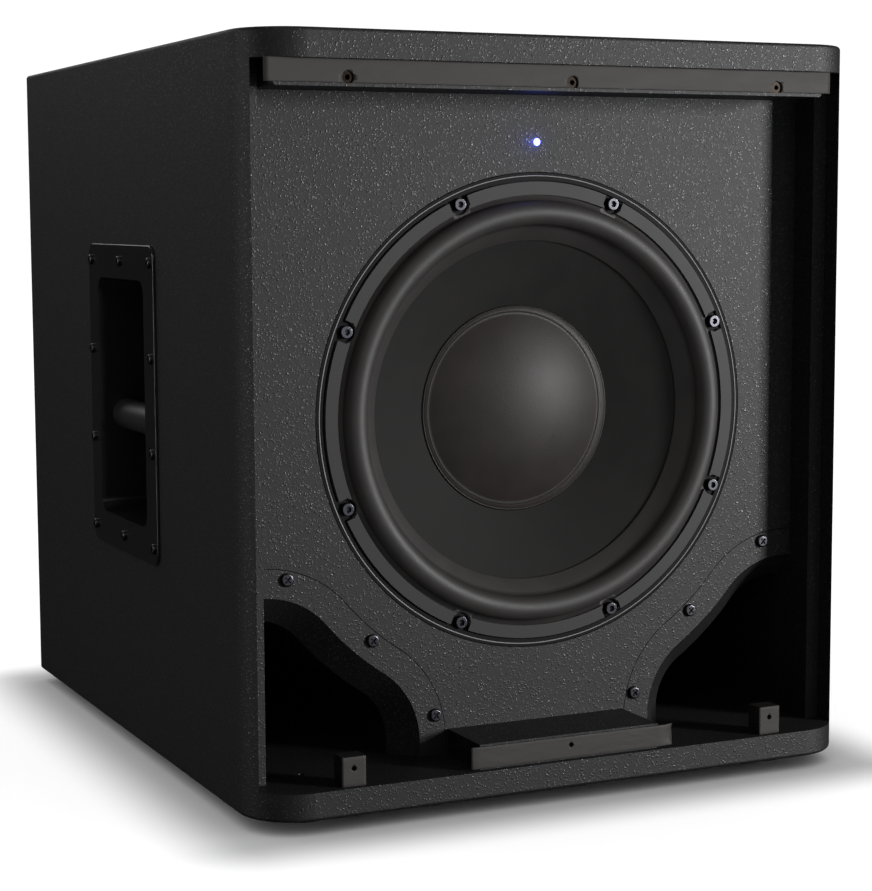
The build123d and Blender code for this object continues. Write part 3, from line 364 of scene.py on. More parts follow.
def driver_radius(tree, place):
    """Distance from the driver's axis, in metres."""
    centred = add(tree, "VectorMath", {0: place, 1: (0.0, 0.0, driver_z)}, operation="SUBTRACT")
    flat = add(tree, "VectorMath", {0: centred.outputs["Vector"], 1: (1.0, 0.0, 1.0)}, operation="MULTIPLY")
    far = add(tree, "VectorMath", {0: flat.outputs["Vector"]}, operation="LENGTH")
    return far.outputs["Value"]


def bead(tree, radius, middle_mm, width_mm):
    """1 on a ring of a given radius, falling to 0 half a width to either side."""
    off = add(tree, "Math", {0: radius, 1: middle_mm * MM}, operation="SUBTRACT")
    gap = add(tree, "Math", {0: off.outputs["Value"]}, operation="ABSOLUTE")
    return add(
        tree,
        "MapRange",
        {"Value": gap.outputs["Value"], "From Max": width_mm / 2 * MM, "To Min": 1.0, "To Max": 0.0},
        interpolation_type="SMOOTHSTEP",
    ).outputs["Result"]


def casting_with_painted_bead_highlight():
    """Matt powder; along the bead it is smoother, and its colour is painted paler as a highlight."""
    made, tree, shader, place = start("powder_casting_painted_bead_highlight", **{"IOR": 1.5, "Specular IOR Level": 0.12})
    ring = bead(tree, driver_radius(tree, place), BEAD_RADIUS_MM, BEAD_WIDTH_MM)
    powder = add(tree, "TexNoise", {"Vector": place, "Scale": per_mm(POWDER_GRAIN_MM), "Detail": 3.0})
    # The pale colour on the bead is a painted highlight: the bright line that light draws along the rim.
    mottle(tree, shader, ring, "#040404", "#6c6c6e", 0.62, 0.3)
    emboss(tree, shader, powder.outputs["Fac"], POWDER_RELIEF_MM)
    return made


# Die cast, powder coated and sealed: it takes no more light than the shade round it, bar the painted
# highlight on its bead.
materials["cast_frame"] = casting_with_painted_bead_highlight()
print("bead on the rim at", BEAD_RADIUS_MM, "mm")

# %% [markdown]
# Black zinc plating is thin enough for the steel's shine to come through, so screws made of it
# glint where plastic of the same colour wouldn't. Black anodising on the heat sink does the same
# on aluminium, with the long lines of the extrusion die.

# %% Black-plated screws and the anodised heat sink
# Plated in a barrel, so the tumbling leaves no direction: small grey glints on the screws' heads.
materials["black_zinc"] = bare_metal(
    "black_zinc_plated_steel", "#3a3a3e", "#55555a", 0.26, 0.36, (1, 1, 1), grain_mm=0.8
)
# Extruded, then anodised black: a dark sheen drawn out along the fins.
materials["sink_anodised"] = bare_metal(
    "black_anodised_extrusion", "#121214", "#1d1d20", 0.34, 0.46, (1, 1, 20), grain_mm=0.5
)
print(len(materials), "materials so far")

# %% [markdown]
# ## Foam tape
#
# The grille beds on strips of closed-cell foam tape. The skin is smooth and slightly warm in tone,
# paler than the paint round it, with faint ripples from being pulled off a roll and pressed down.

# %% Foam tape
RIPPLE_MM = 6
CELL_MM = 0.5
CELL_SHARE = 0.12  # the cells' height, against the ripples'


def foam_tape():
    """Slow ripples, four times longer along the tape than across it, and the foam's fine cells."""
    made, tree, shader, place = start("closed_cell_foam_tape", **{"IOR": 1.45})
    ripple = add(tree, "Mapping", {"Vector": place, "Scale": (0.25, 1.0, 1.0)})
    wave = add(
        tree, "TexNoise", {"Vector": ripple.outputs["Vector"], "Scale": per_mm(RIPPLE_MM), "Detail": 3.0}
    )
    cells = add(tree, "TexVoronoi", {"Vector": place, "Scale": per_mm(CELL_MM)})
    height = add(
        tree,
        "Math",
        {0: cells.outputs["Distance"], 1: CELL_SHARE, 2: wave.outputs["Fac"]},
        operation="MULTIPLY_ADD",
    )
    mottle(tree, shader, wave.outputs["Fac"], "#191614", "#23201d", 0.62, 0.74)
    emboss(tree, shader, height.outputs["Value"], 0.25)
    return made


# Foamed sheet skinned in the mould and slit into rolls: a warm, dull grey against the black paint.
materials["foam_tape"] = foam_tape()
print("foam ripples", RIPPLE_MM, "mm apart")

# %% [markdown]
# ## Surround rubber, cone and cap
#
# The surround is moulded butyl rubber with a satin skin. The cone is pressed from paper pulp and
# coated, which leaves soft blotches where it soaked in. The cap is the same stock with a little
# more sheen, and two faint rings of glue where it meets the cone.

# %% Rubber and paper
TALC_MM = 18
RUBBER_GRAIN_MM = 0.8
FIBRE_MM = 1.1
SOAK_MM = 22
GLUE_RINGS_MM = (65.2, 69.0)
GLUE_WIDTH_MM = 1.2
GLUE_RISE = 5.0  # a glue ring's height, against the fibres'


def satin_rubber():
    """A moulded skin with long soft clouds, from the talc that lets it out of the mould."""
    made, tree, shader, place = start("satin_butyl_rubber", **{"IOR": 1.52, "Specular IOR Level": 0.36})
    cloud = add(tree, "TexNoise", {"Vector": place, "Scale": per_mm(TALC_MM), "Detail": 4.0})
    skin = add(tree, "TexNoise", {"Vector": place, "Scale": per_mm(RUBBER_GRAIN_MM), "Detail": 3.0})
    mottle(tree, shader, cloud.outputs["Fac"], "#1c1a1a", "#262423", 0.52, 0.6)
    emboss(tree, shader, skin.outputs["Fac"], 0.02)
    return made


def pressed_paper(name, dark, light, smooth, rough, level, glue_rings=()):
    """Fibres that lie any way, under a coating that soaked in unevenly. A porous face reflects less
    than a sealed one, so its level is below the usual half. glue_rings are radii in mm."""
    made, tree, shader, place = start(name, **{"IOR": 1.45, "Specular IOR Level": level})
    fibre = add(
        tree, "TexNoise", {"Vector": place, "Scale": per_mm(FIBRE_MM), "Detail": 5.0, "Distortion": 1.2}
    )
    cloud = add(tree, "TexNoise", {"Vector": place, "Scale": per_mm(SOAK_MM), "Detail": 4.0})
    mottle(tree, shader, cloud.outputs["Fac"], dark, light, smooth, rough)
    height = fibre.outputs["Fac"]
    for ring_mm in glue_rings:
        ring = bead(tree, driver_radius(tree, place), ring_mm, GLUE_WIDTH_MM)
        raised = add(tree, "Math", {0: ring, 1: GLUE_RISE, 2: height}, operation="MULTIPLY_ADD")
        height = raised.outputs["Value"]
    emboss(tree, shader, height, 0.08)
    return made


# Cured between hot plates: one broad soft highlight runs round the roll.
materials["surround_rubber"] = satin_rubber()
# Felted from pulp on a screen, pressed and coated: almost no highlight, so the cone falls away.
materials["cone_paper"] = pressed_paper("coated_pulp_cone", "#0f0e0e", "#181716", 0.66, 0.76, 0.17)
# Pressed harder and coated thicker: the dome carries one wide glow.
materials["cap_paper"] = pressed_paper(
    "coated_pulp_cap", "#171413", "#221e1c", 0.44, 0.54, 0.24, GLUE_RINGS_MM
)
print(len(materials), "materials so far")

# %% [markdown]
# ## Inside materials
#
# Nobody sees these with the cabinet closed, but each is still made of its own stuff: birch
# plywood with its plies, woven spider cloth stiff with resin, braided lead wire, a lacquered
# circuit board and polyester wadding.

# %% Plywood
PLY_WAVE_MM = 1.4
PLY_SHARE = 0.35  # how much a ply's tone counts, against the figure's
WAVE_TURN = 20  # a wave texture repeats every 2 pi / 20, so every 2 pi times the size named here
FIGURE_MM = 3


def birch_plywood():
    """The grain's long figure, crossed by the light and dark of the plies."""
    made, tree, shader, place = start("birch_plywood", **{"IOR": 1.5})
    grain = add(tree, "Mapping", {"Vector": place, "Scale": (0.06, 1.0, 1.0)})
    figure = add(
        tree, "TexNoise", {"Vector": grain.outputs["Vector"], "Scale": per_mm(FIGURE_MM), "Detail": 6.0}
    )
    plies = add(
        tree,
        "TexWave",
        {"Vector": place, "Scale": per_mm(WAVE_TURN * PLY_WAVE_MM), "Distortion": 0.3},
        bands_direction="Y",
    )
    both = add(
        tree,
        "Math",
        {0: plies.outputs["Fac"], 1: PLY_SHARE, 2: figure.outputs["Fac"]},
        operation="MULTIPLY_ADD",
    )
    mottle(tree, shader, both.outputs["Value"], "#b08a5c", "#d9bc8e", 0.5, 0.68)
    emboss(tree, shader, figure.outputs["Fac"], 0.08)
    return made


# Peeled veneers glued crosswise and left bare inside the cabinet: pale, striped at the edges.
materials["bare_plywood"] = birch_plywood()
print("the plies' tone repeats every", round(2 * math.pi * PLY_WAVE_MM, 1), "mm")

# %% [markdown]
# Cloth and braid are threads crossing at right angles, so one recipe of crossed waves makes both,
# drawn wider than real threads. Wadding is a tangle, so its pattern is noise bent by more noise.

# %% Cloth, braid and wadding
CLOTH_WAVE_MM = 0.6
BRAID_WAVE_MM = 0.3
FLUFF_MM = 2.5


def woven(name, dark, light, wave_mm, rough):
    """Two sets of ridges at right angles, each 2 pi times wave_mm apart."""
    made, tree, shader, place = start(name, **{"IOR": 1.5})
    ways = []
    for direction in ("X", "Z"):
        threads = add(
            tree,
            "TexWave",
            {"Vector": place, "Scale": per_mm(WAVE_TURN * wave_mm), "Distortion": 0.4},
            bands_direction=direction,
        )
        ways.append(threads.outputs["Fac"])
    weave = add(tree, "Math", {0: ways[0], 1: ways[1]}, operation="MAXIMUM")
    mottle(tree, shader, weave.outputs["Value"], dark, light, rough - 0.1, rough)
    emboss(tree, shader, weave.outputs["Value"], 0.15)
    return made


def wadding():
    """Crimped fibres with a soft sheen at the edge, where light runs through the fluff."""
    made, tree, shader, place = start("polyester_wadding", **{"IOR": 1.45, "Sheen Weight": 0.3})
    fluff = add(
        tree, "TexNoise", {"Vector": place, "Scale": per_mm(FLUFF_MM), "Detail": 8.0, "Distortion": 2.0}
    )
    mottle(tree, shader, fluff.outputs["Fac"], "#bdbcb8", "#e6e5e1", 0.85, 0.95)
    emboss(tree, shader, fluff.outputs["Fac"], 1.2)
    return made


# Cotton dipped in resin and pressed hot into ripples: amber and stiff.
materials["spider_cloth"] = woven("resin_dipped_spider_cloth", "#7d5a24", "#b08a48", CLOTH_WAVE_MM, 0.75)
# Copper foil wound on thread, then braided: flexible, with a broken copper glint.
materials["lead_braid"] = woven("braided_tinsel_wire", "#8a5f3c", "#c29064", BRAID_WAVE_MM, 0.5)
# Carded and bonded with heat: a white fleece that never shines.
materials["wadding"] = wadding()
print("the spider's weave repeats every", round(2 * math.pi * CLOTH_WAVE_MM, 1), "mm")

# %% [markdown]
# The circuit board is glass laminate under green lacquer, with its tracks showing as a pattern of
# squares. The status light is a diode behind a milky lens. Its middle is bright enough to look
# white, and its edge keeps the blue, so the colour goes by the distance from the lens's middle.

# %% Circuit board and status light
TRACK_MM = 7
LAMP_BLUE = "#3a52ff"
LAMP_CORE = "#e8ecff"
LAMP_HOT_MM = 2.6  # where the lens has gone from white to blue
LAMP_STRENGTH = 9.0


def circuit_laminate():
    """Square fields of copper under the lacquer, a shade lighter than the gaps between them."""
    made, tree, shader, place = start("lacquered_circuit_laminate", **{"IOR": 1.5})
    tracks = add(tree, "TexVoronoi", {"Vector": place, "Scale": per_mm(TRACK_MM)}, distance="CHEBYCHEV")
    cloud = add(tree, "MapRange", {"Value": tracks.outputs["Distance"], "From Max": 0.6})
    mottle(tree, shader, cloud.outputs["Result"], "#0b3a1c", "#17562c", 0.22, 0.35)
    emboss(tree, shader, tracks.outputs["Distance"], 0.05)
    return made


# Etched, lacquered and baked: green and glassy.
materials["green_laminate"] = circuit_laminate()


def diffused_lamp():
    """A blue diode's lens: the die behind it makes the middle nearly white and the rim blue."""
    made, tree, shader, place = start("diffused_blue_lamp", **{"IOR": 1.5, "Roughness": 0.25})
    middle = add(tree, "VectorMath", {0: place, 1: (0.0, lamp_tip.y, lamp_tip.z)}, operation="DISTANCE")
    fall = add(tree, "MapRange", {"Value": middle.outputs["Value"], "From Max": LAMP_HOT_MM * MM})
    colour = add(tree, "Mix", {"Factor": fall.outputs["Result"]}, data_type="RGBA")
    colour.inputs["A"].default_value = linear(LAMP_CORE)
    colour.inputs["B"].default_value = linear(LAMP_BLUE)
    tree.links.new(colour.outputs["Result"], shader.inputs["Emission Color"])
    tree.links.new(colour.outputs["Result"], shader.inputs["Base Color"])
    shader.inputs["Emission Strength"].default_value = LAMP_STRENGTH
    return made


lamp_low, lamp_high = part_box("status_light")
lamp_tip = Vector((0.0, lamp_low.y, (lamp_low.z + lamp_high.z) / 2))
# Moulded from milky acrylic: a small even glow with a blue edge.
materials["light_lens"] = diffused_lamp()
print(len(materials), "materials in all")

# %% [markdown]
# ## Putting the finishes on the CAD pieces
#
# The record says which finish each CAD piece has. Their meshes stay as they are.

# %% Finish every CAD piece
node_slot = {row["node"]: row["material_slot"] for row in frame["record"]["subparts"]}
for node, piece in frame["nodes"].items():
    for holder in piece.material_slots:
        holder.material = materials[node_slot[node]]
print(len(frame["nodes"]), "CAD pieces finished")

# %% [markdown]
# ## Helpers for meshes
#
# A turned piece is a profile of radius and depth carried round the driver's axis.

# %% Helpers for meshes
ROUND_STEPS = 480
WELD = 1e-6  # points closer than this, in metres, are one point


def mesh_object(name, points, faces, slot):
    """A smooth piece from points in metres and faces, in a finish's slot."""
    mesh = bpy.data.meshes.new(name)
    mesh.from_pydata([tuple(p) for p in points], [], faces)
    mesh.validate()
    tidy = bmesh.new()
    tidy.from_mesh(mesh)
    bmesh.ops.remove_doubles(tidy, verts=tidy.verts, dist=WELD)
    bmesh.ops.recalc_face_normals(tidy, faces=tidy.faces)
    for face in tidy.faces:
        face.smooth = True
    tidy.to_mesh(mesh)
    tidy.free()
    piece = show(name, mesh)
    mesh.materials.append(materials[slot])
    print(name, len(mesh.vertices), "points")
    return piece


def turned(name, profile, slot, steps=ROUND_STEPS):
    """profile(angle) is a closed list of (radius, depth behind the baffle's face) in mm."""
    points, faces = [], []
    for step in range(steps):
        angle = 2 * math.pi * step / steps
        for radius, depth in profile(angle):
            points.append((
                radius * MM * math.cos(angle),
                baffle_y + depth * MM,
                driver_z + radius * MM * math.sin(angle),
            ))
    count = len(profile(0.0))
    for step in range(steps):
        here, there = step * count, (step + 1) % steps * count
        for k in range(count):
            after = (k + 1) % count
            faces.append((here + k, here + after, there + after, there + k))
    return mesh_object(name, points, faces, slot)


def blend_by_radius(piece):
    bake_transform(piece)


print("turned pieces have up to", ROUND_STEPS, "steps")

# %% [markdown]
# ## The surround
#
# A half roll of rubber joins the cone to the basket. Its outer lip is clamped under the gasket
# and notched round each screw, its roll stands proud of the baffle, and its inner lip is glued to
# the cone's outer band.

# %% Surround
SKIN = 1.4
ROLL_OUT, ROLL_IN = 139.5, 123.0
ROLL_CREST = 9.0
ROLL_FULLNESS = 0.85  # below 1 the roll stands fuller than a circle
LIP_OUT = 151.6
LIP_DEPTH = 0.1
BAND_INNER, BAND_INNER_DEPTH = 113.0, 9.5
BAND_OUTER_DEPTH = 1.0
SCREW_PITCH = 148.0
SCREW_NOTCH = 6.6
SCREWS = 8
ROLL_STEPS = 26
LIP_STEP = 0.9  # the least flat between a notch and the roll's foot
LIP_RUN = 4.0  # how far the lip lies flat inside its rim
GLUE_IN, GLUE_SINK = 2.0, 1.55  # where the inner lip first touches the cone's band
EDGE_IN, EDGE_UP, EDGE_DOWN = 0.5, 0.35, 0.25  # the rounded inner edge


def notched_rim(angle):
    """The lip's outer radius, pulled in round each screw."""
    between = 2 * math.pi / SCREWS
    off = angle % between - between / 2
    sideways = SCREW_PITCH * math.sin(off)
    if abs(sideways) >= SCREW_NOTCH:
        return LIP_OUT
    return SCREW_PITCH * math.cos(off) - math.sqrt(SCREW_NOTCH**2 - sideways**2)


def arch(k, shrink):
    """One point of the roll, from its outer foot to its inner one, shrunk for the hidden face."""
    sweep = math.pi * k / ROLL_STEPS
    foot = LIP_DEPTH + (BAND_OUTER_DEPTH - LIP_DEPTH) * k / ROLL_STEPS + shrink
    rise = max(0.0, math.sin(sweep)) ** ROLL_FULLNESS
    half = (ROLL_OUT - ROLL_IN) / 2 - shrink
    return (ROLL_OUT + ROLL_IN) / 2 + half * math.cos(sweep), foot - (ROLL_CREST + foot - shrink) * rise


def roll_profile(angle):
    """The front from the lip over the roll to the inner edge, then back along the hidden face."""
    rim = notched_rim(angle)
    flat = max(ROLL_OUT + LIP_STEP, rim - LIP_RUN)
    front = [(rim, LIP_DEPTH), (flat, LIP_DEPTH)]
    front += [arch(k, 0.0) for k in range(ROLL_STEPS + 1)]
    front.append((ROLL_IN - GLUE_IN, BAND_OUTER_DEPTH + GLUE_SINK))
    front.append((BAND_INNER + EDGE_IN, BAND_INNER_DEPTH - EDGE_UP))
    front.append((BAND_INNER, BAND_INNER_DEPTH + EDGE_DOWN))
    back = [(BAND_INNER, BAND_INNER_DEPTH + SKIN)]
    back.append((ROLL_IN - GLUE_IN, BAND_OUTER_DEPTH + GLUE_SINK + SKIN))
    back += [arch(k, SKIN) for k in range(ROLL_STEPS, -1, -1)]
    back.append((flat, LIP_DEPTH + SKIN))
    back.append((rim, LIP_DEPTH + SKIN))
    return front + back


surround = turned("surround_roll", roll_profile, "surround_rubber")
blend_by_radius(surround)
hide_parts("surround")

# %% [markdown]
# ## The rim's bead
#
# The fine raised bead on the driver's rim is turned as a separate sliver of a half round, because
# it stands out of the flat casting by less than half a millimetre.

# %% Rim bead
BEAD_HEIGHT = 0.4
BEAD_ROOT = 0.05  # how far it is sunk into the casting
BEAD_STEPS = 8


def bead_profile(angle):
    """Half a circle, a little flattened, with its root under the rim's face."""
    points = []
    for k in range(BEAD_STEPS + 1):
        sweep = math.pi * k / BEAD_STEPS
        radius = BEAD_RADIUS_MM + BEAD_WIDTH_MM / 2 * math.cos(sweep)
        points.append((radius, BEAD_ROOT - (BEAD_HEIGHT + BEAD_ROOT) * math.sin(sweep)))
    return points


# The casting's finish paints this bead pale, as a highlight.
rim_bead = turned("rim_bead", bead_profile, "cast_frame")
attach(rim_bead, "cabinet")

# %% [markdown]
# ## The dust cap
#
# A pressed paper dome is glued over the coil. Its rim turns out into a narrow flange that lies on
# the cone. Turning it finely here keeps the highlight smooth right over the middle.

# %% Dust cap
cap_low, cap_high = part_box("dust_cap")
CAP_RIM = 64.5
CAP_SKIN = 1.0
CONE_SLOPE = 0.4606  # depth gained for each step in towards the axis
CAP_STEPS = 40
CAP_ROUND_STEPS = 180
cap_edge = (cap_high.x - cap_low.x) / 2 / MM
cap_apex = (cap_low.y - baffle_y) / MM
cap_rim_depth = (cap_high.y - baffle_y) / MM
cap_edge_depth = cap_rim_depth - (cap_edge - CAP_RIM) * CONE_SLOPE


def cap_profile(angle):
    """The dome's front, out to the flange, then back along its hidden face."""
    fall = cap_rim_depth - CAP_SKIN - cap_apex
    sphere = (CAP_RIM**2 + fall**2) / (2 * fall)
    front = []
    for k in range(CAP_STEPS + 1):
        radius = CAP_RIM * k / CAP_STEPS
        front.append((radius, cap_apex + sphere - math.sqrt(sphere**2 - radius**2)))
    front.append((cap_edge, cap_edge_depth - CAP_SKIN))
    back = [(cap_edge, cap_edge_depth)]
    back += [(radius, depth + CAP_SKIN) for radius, depth in reversed(front[:-1])]
    return front + back


cap = turned("dust_cap_dome", cap_profile, "cap_paper", steps=CAP_ROUND_STEPS)
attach(cap, "moving_cone")
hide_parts("dust_cap")

# %% [markdown]
# ## The spider
#
# The second spring is a disc of corrugated cloth behind the cone. It holds the coil in the middle
# of its gap.

# %% Spider
SPIDER_IN, SPIDER_OUT = 38.15, 93.0
SPIDER_DEPTH = 60.0
SPIDER_CLOTH = 0.8
RIPPLES = 6
RIPPLE_HEIGHT = 1.7
RIPPLED_FROM, RIPPLED_TO = 0.07, 0.9  # the shares of the width between which it is rippled
RIPPLE_FADE = 0.05
SPIDER_GAP = 0.05  # air between the cloth and the face it is glued to
SPIDER_STEPS = 90
SPIDER_ROUND_STEPS = 240


def spider_profile(angle):
    """The cloth's front from the coil outwards, then back one thickness behind it."""
    front = []
    for k in range(SPIDER_STEPS + 1):
        share = k / SPIDER_STEPS
        fade = min((share - RIPPLED_FROM) / RIPPLE_FADE, (RIPPLED_TO - share) / RIPPLE_FADE)
        phase = RIPPLES * (share - RIPPLED_FROM) / (RIPPLED_TO - RIPPLED_FROM)
        rise = RIPPLE_HEIGHT * math.sin(2 * math.pi * phase) * min(1.0, max(0.0, fade))
        front.append((SPIDER_IN + share * (SPIDER_OUT - SPIDER_IN), SPIDER_DEPTH + SPIDER_GAP + rise))
    return front + [(radius, depth + SPIDER_CLOTH) for radius, depth in reversed(front)]


spider = turned("spider_disc", spider_profile, "spider_cloth", steps=SPIDER_ROUND_STEPS)
blend_by_radius(spider)
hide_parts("spider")

# %% [markdown]
# ## The flexible leads
#
# Two braided wires carry the current from the terminals, across the gap, to the moving cone.
# They hang in a shallow loop so that they never pull tight.

# %% Leads
LEAD_X = 12.0
LEAD_RADIUS = 1.0
LEAD_LOOP = 2.2  # how far the slack swings to either side of the straight way
LEAD_SIDES, LEAD_STEPS = 12, 28
lead_low, lead_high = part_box("tinsel_leads")


def lead_tube(name):
    """Both leads as one piece: round tubes along a straight way with a slack loop in it."""
    points, faces = [], []
    across = Vector((1, 0, 0))
    for x in (-LEAD_X, LEAD_X):
        from_board = Vector((x * MM, lead_high.y - LEAD_RADIUS * MM, lead_low.z + LEAD_RADIUS * MM))
        to_cone = Vector((x * MM, lead_low.y + LEAD_RADIUS * MM, lead_high.z - LEAD_RADIUS * MM))
        first = len(points)
        for k in range(LEAD_STEPS + 1):
            turn_so_far = 2 * math.pi * k / LEAD_STEPS
            middle = from_board.lerp(to_cone, k / LEAD_STEPS)
            middle.y += LEAD_LOOP * MM * math.sin(turn_so_far)
            way = to_cone - from_board
            way.y += LEAD_LOOP * MM * 2 * math.pi * math.cos(turn_so_far)
            up = way.cross(across).normalized()
            for side in range(LEAD_SIDES):
                angle = 2 * math.pi * side / LEAD_SIDES
                out = math.cos(angle) * across + math.sin(angle) * up
                points.append(middle + LEAD_RADIUS * MM * out)
        for k in range(LEAD_STEPS):
            for side in range(LEAD_SIDES):
                a = first + k * LEAD_SIDES + side
                b = first + k * LEAD_SIDES + (side + 1) % LEAD_SIDES
                faces.append((a, b, b + LEAD_SIDES, a + LEAD_SIDES))
        faces.append(tuple(first + side for side in range(LEAD_SIDES)))
        faces.append(tuple(first + LEAD_STEPS * LEAD_SIDES + side for side in range(LEAD_SIDES)))
    return mesh_object(name, points, faces, "lead_braid")


leads = lead_tube("tinsel_lead_pair")
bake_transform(leads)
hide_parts("tinsel_leads")

# %% [markdown]
# ## Foam tapes
#
# Each tape is a strip swept along the wood it sticks to, with soft edges, holes punched for the
# grille's screws, and the ends free where the strip is longer than the wood.

# %% Tape helper
TAPE_EDGE = 0.35
TORN_LENGTH = 9.0 * MM
TAPE_ROWS = 10
TAPE_WANDER = 0.12 * MM  # how far the face rises and falls
WANDER_X, WANDER_Z, WANDER_SEED = 90, 400, 3.1  # changes per metre along and across, and a start


def tape_strip(name, path, low_z, high_z, thickness, torn=0.0):
    """path is a list of (x, y) points, in metres, along the back of the tape from left to right.
    torn is how far a hollow bite reaches into the right end, where it was pulled off, not cut."""
    points, faces = [], []
    rounding = TAPE_EDGE * MM
    corner = 0.3 * rounding
    tall = high_z - low_z
    across = [(0.0, low_z), (thickness - rounding, low_z), (thickness - corner, low_z + corner)]
    for k in range(TAPE_ROWS + 1):
        across.append((thickness, low_z + rounding + (tall - 2 * rounding) * k / TAPE_ROWS))
    across += [(thickness - corner, high_z - corner), (thickness - rounding, high_z), (0.0, high_z)]
    count = len(across)
    for k, (x, y) in enumerate(path):
        before, after = path[max(k - 1, 0)], path[min(k + 1, len(path) - 1)]
        along = Vector((after[0] - before[0], after[1] - before[1], 0)).normalized()
        outward = Vector((along.y, -along.x, 0))
        for lift, z in across:
            if lift == thickness:
                place = Vector((x * WANDER_X, z * WANDER_Z, WANDER_SEED))
                lift += noise.noise(place) * TAPE_WANDER
            near_end = max(0.0, 1 - (path[-1][0] - x) / TORN_LENGTH)
            spot = Vector((x, y, z)) + outward * lift
            spot.x -= torn * near_end * math.sin(math.pi * (z - low_z) / tall)
            points.append(spot)
    for k in range(len(path) - 1):
        for j in range(count):
            a, b = k * count + j, k * count + (j + 1) % count
            faces.append((a, a + count, b + count, b))
    faces.append(tuple(range(count)))
    faces.append(tuple(range((len(path) - 1) * count, len(path) * count)))
    return mesh_object(name, points, faces, "foam_tape")


PUNCH_DEPTH = 12 * MM
PUNCH_SIDES = 40


def punch(piece, spots, radius):
    """Round holes through the tape, along Y."""
    cutter_mesh = bpy.data.meshes.new("punch")
    shape = bmesh.new()
    for x, y, z in spots:
        bmesh.ops.create_cone(
            shape,
            cap_ends=True,
            segments=PUNCH_SIDES,
            radius1=radius,
            radius2=radius,
            depth=PUNCH_DEPTH,
            matrix=Matrix.Translation((x, y, z)) @ Matrix.Rotation(math.pi / 2, 4, "X"),
        )
    shape.to_mesh(cutter_mesh)
    shape.free()
    cutter = show("punch", cutter_mesh)
    hole = piece.modifiers.new("punch", "BOOLEAN")
    hole.operation = "DIFFERENCE"
    hole.solver = "EXACT"
    hole.object = cutter
    graph = bpy.context.evaluated_depsgraph_get()
    punched = bpy.data.meshes.new_from_object(piece.evaluated_get(graph))
    piece.modifiers.clear()
    piece.data = punched
    bpy.data.objects.remove(cutter)
    print(piece.name, "punched", len(spots), "holes")


print("tape edges rounded by", TAPE_EDGE, "mm")

# %% [markdown]
# The rail's tape is one straight strip, with a hole for each of the grille's three inserts. The
# holes' heights come from the inserts, so the screws line up.

# %% Rail tape
GRILLE_HOLE_X = 154.0 * MM
INSERT_RADIUS = 3.9 * MM
HOLE_CLEARANCE = 0.1 * MM
RAIL_TAPE_STEPS = 120
rail_low, rail_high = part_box("rail_tape")
lower_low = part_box("lower_tapes")[0]
insert_low, insert_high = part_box("grille_inserts")
tab_low, tab_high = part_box("grille_tabs")
block_low, block_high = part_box("grille_block")
tape_back = rail_high.y
tape_thick = rail_high.y - rail_low.y
rail_hole_z = insert_high.z - INSERT_RADIUS


def straight(x_low, x_high, y, steps):
    """Evenly spaced (x, y) points from left to right."""
    return [(x_low + (x_high - x_low) * k / steps, y) for k in range(steps + 1)]


rail_path = straight(rail_low.x, rail_high.x, tape_back, RAIL_TAPE_STEPS)
rail_tape = tape_strip("rail_foam_tape", rail_path, rail_low.z, rail_high.z, tape_thick)
rail_spots = [(x, tape_back, rail_hole_z) for x in (-GRILLE_HOLE_X, 0, GRILLE_HOLE_X)]
punch(rail_tape, rail_spots, INSERT_RADIUS + HOLE_CLEARANCE)
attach(rail_tape, "cabinet")
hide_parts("rail_tape")

# %% [markdown]
# The block's tape is longer than the block. Past the wood its ends are free: the left one has
# been pushed back a little, and the right one curls where it was torn off the roll.

# %% Block and tab tapes
BLOCK_TAPE_BOTTOM = lower_low.z + 0.8 * MM
BLOCK_TAPE_TOP = lower_low.z + 15.2 * MM
BLOCK_TAPE_LEFT = -72.2 * MM
BLOCK_TAPE_RIGHT = 77.4 * MM
BLOCK_TAPE_STEPS = 110
FREE_LENGTH = 9 * MM  # the bends below are reached this far past the wood
LEFT_BEND, RIGHT_BEND = 1.1 * MM, 0.9 * MM
TORN_BITE = 3.2 * MM
SMALL_HOLE_RADIUS = 1.65 * MM
TAB_HALF = 8.0 * MM
TAB_TAPE_STEPS = 12
block_hole_z = insert_low.z + INSERT_RADIUS
tab_hole_z = block_hole_z + 2.1 * MM  # the tabs' screws stand a little higher than the block's


def free_ends(x):
    """How far back the block's tape has bent at x."""
    left = max(0.0, block_low.x - x)
    right = max(0.0, x - block_high.x)
    return LEFT_BEND * (left / FREE_LENGTH) ** 2 + RIGHT_BEND * (right / FREE_LENGTH) ** 2


block_path = straight(BLOCK_TAPE_LEFT, BLOCK_TAPE_RIGHT, tape_back, BLOCK_TAPE_STEPS)
block_path = [(x, y + free_ends(x)) for x, y in block_path]
block_tape = tape_strip(
    "block_foam_tape", block_path, BLOCK_TAPE_BOTTOM, BLOCK_TAPE_TOP, tape_thick, torn=TORN_BITE
)
punch(block_tape, [(0.0, tape_back, block_hole_z)], SMALL_HOLE_RADIUS)
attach(block_tape, "cabinet")
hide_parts("lower_tapes")

for name, x in (("tab_foam_tape_left", -GRILLE_HOLE_X), ("tab_foam_tape_right", GRILLE_HOLE_X)):
    tab_path = straight(x - TAB_HALF, x + TAB_HALF, tape_back, TAB_TAPE_STEPS)
    tab_tape = tape_strip(name, tab_path, tab_low.z, tab_high.z, tape_thick)
    punch(tab_tape, [(x, tape_back, tab_hole_z)], SMALL_HOLE_RADIUS)
    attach(tab_tape, "cabinet")

# %% [markdown]
# ## Wadding
#
# A batt of polyester is stapled under the top board to damp the cabinet. It is soft, so its faces
# are never flat and its corners are round.

# %% Wadding
wad_low, wad_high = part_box("damping_wadding")
BATT_CUTS = 22
EDGE_SQUEEZE = 0.18  # how much thinner the batt is at its edges
LUMPS, LUMP_HEIGHT = 28, 0.0022  # per metre, and metres
TUFTS, TUFT_HEIGHT = 110, 0.0008
DEEPEST_DENT = -0.003
SAG_SHARE = 0.04
SIDE_SHRINK = 0.985  # the sides are drawn in a little between the two faces


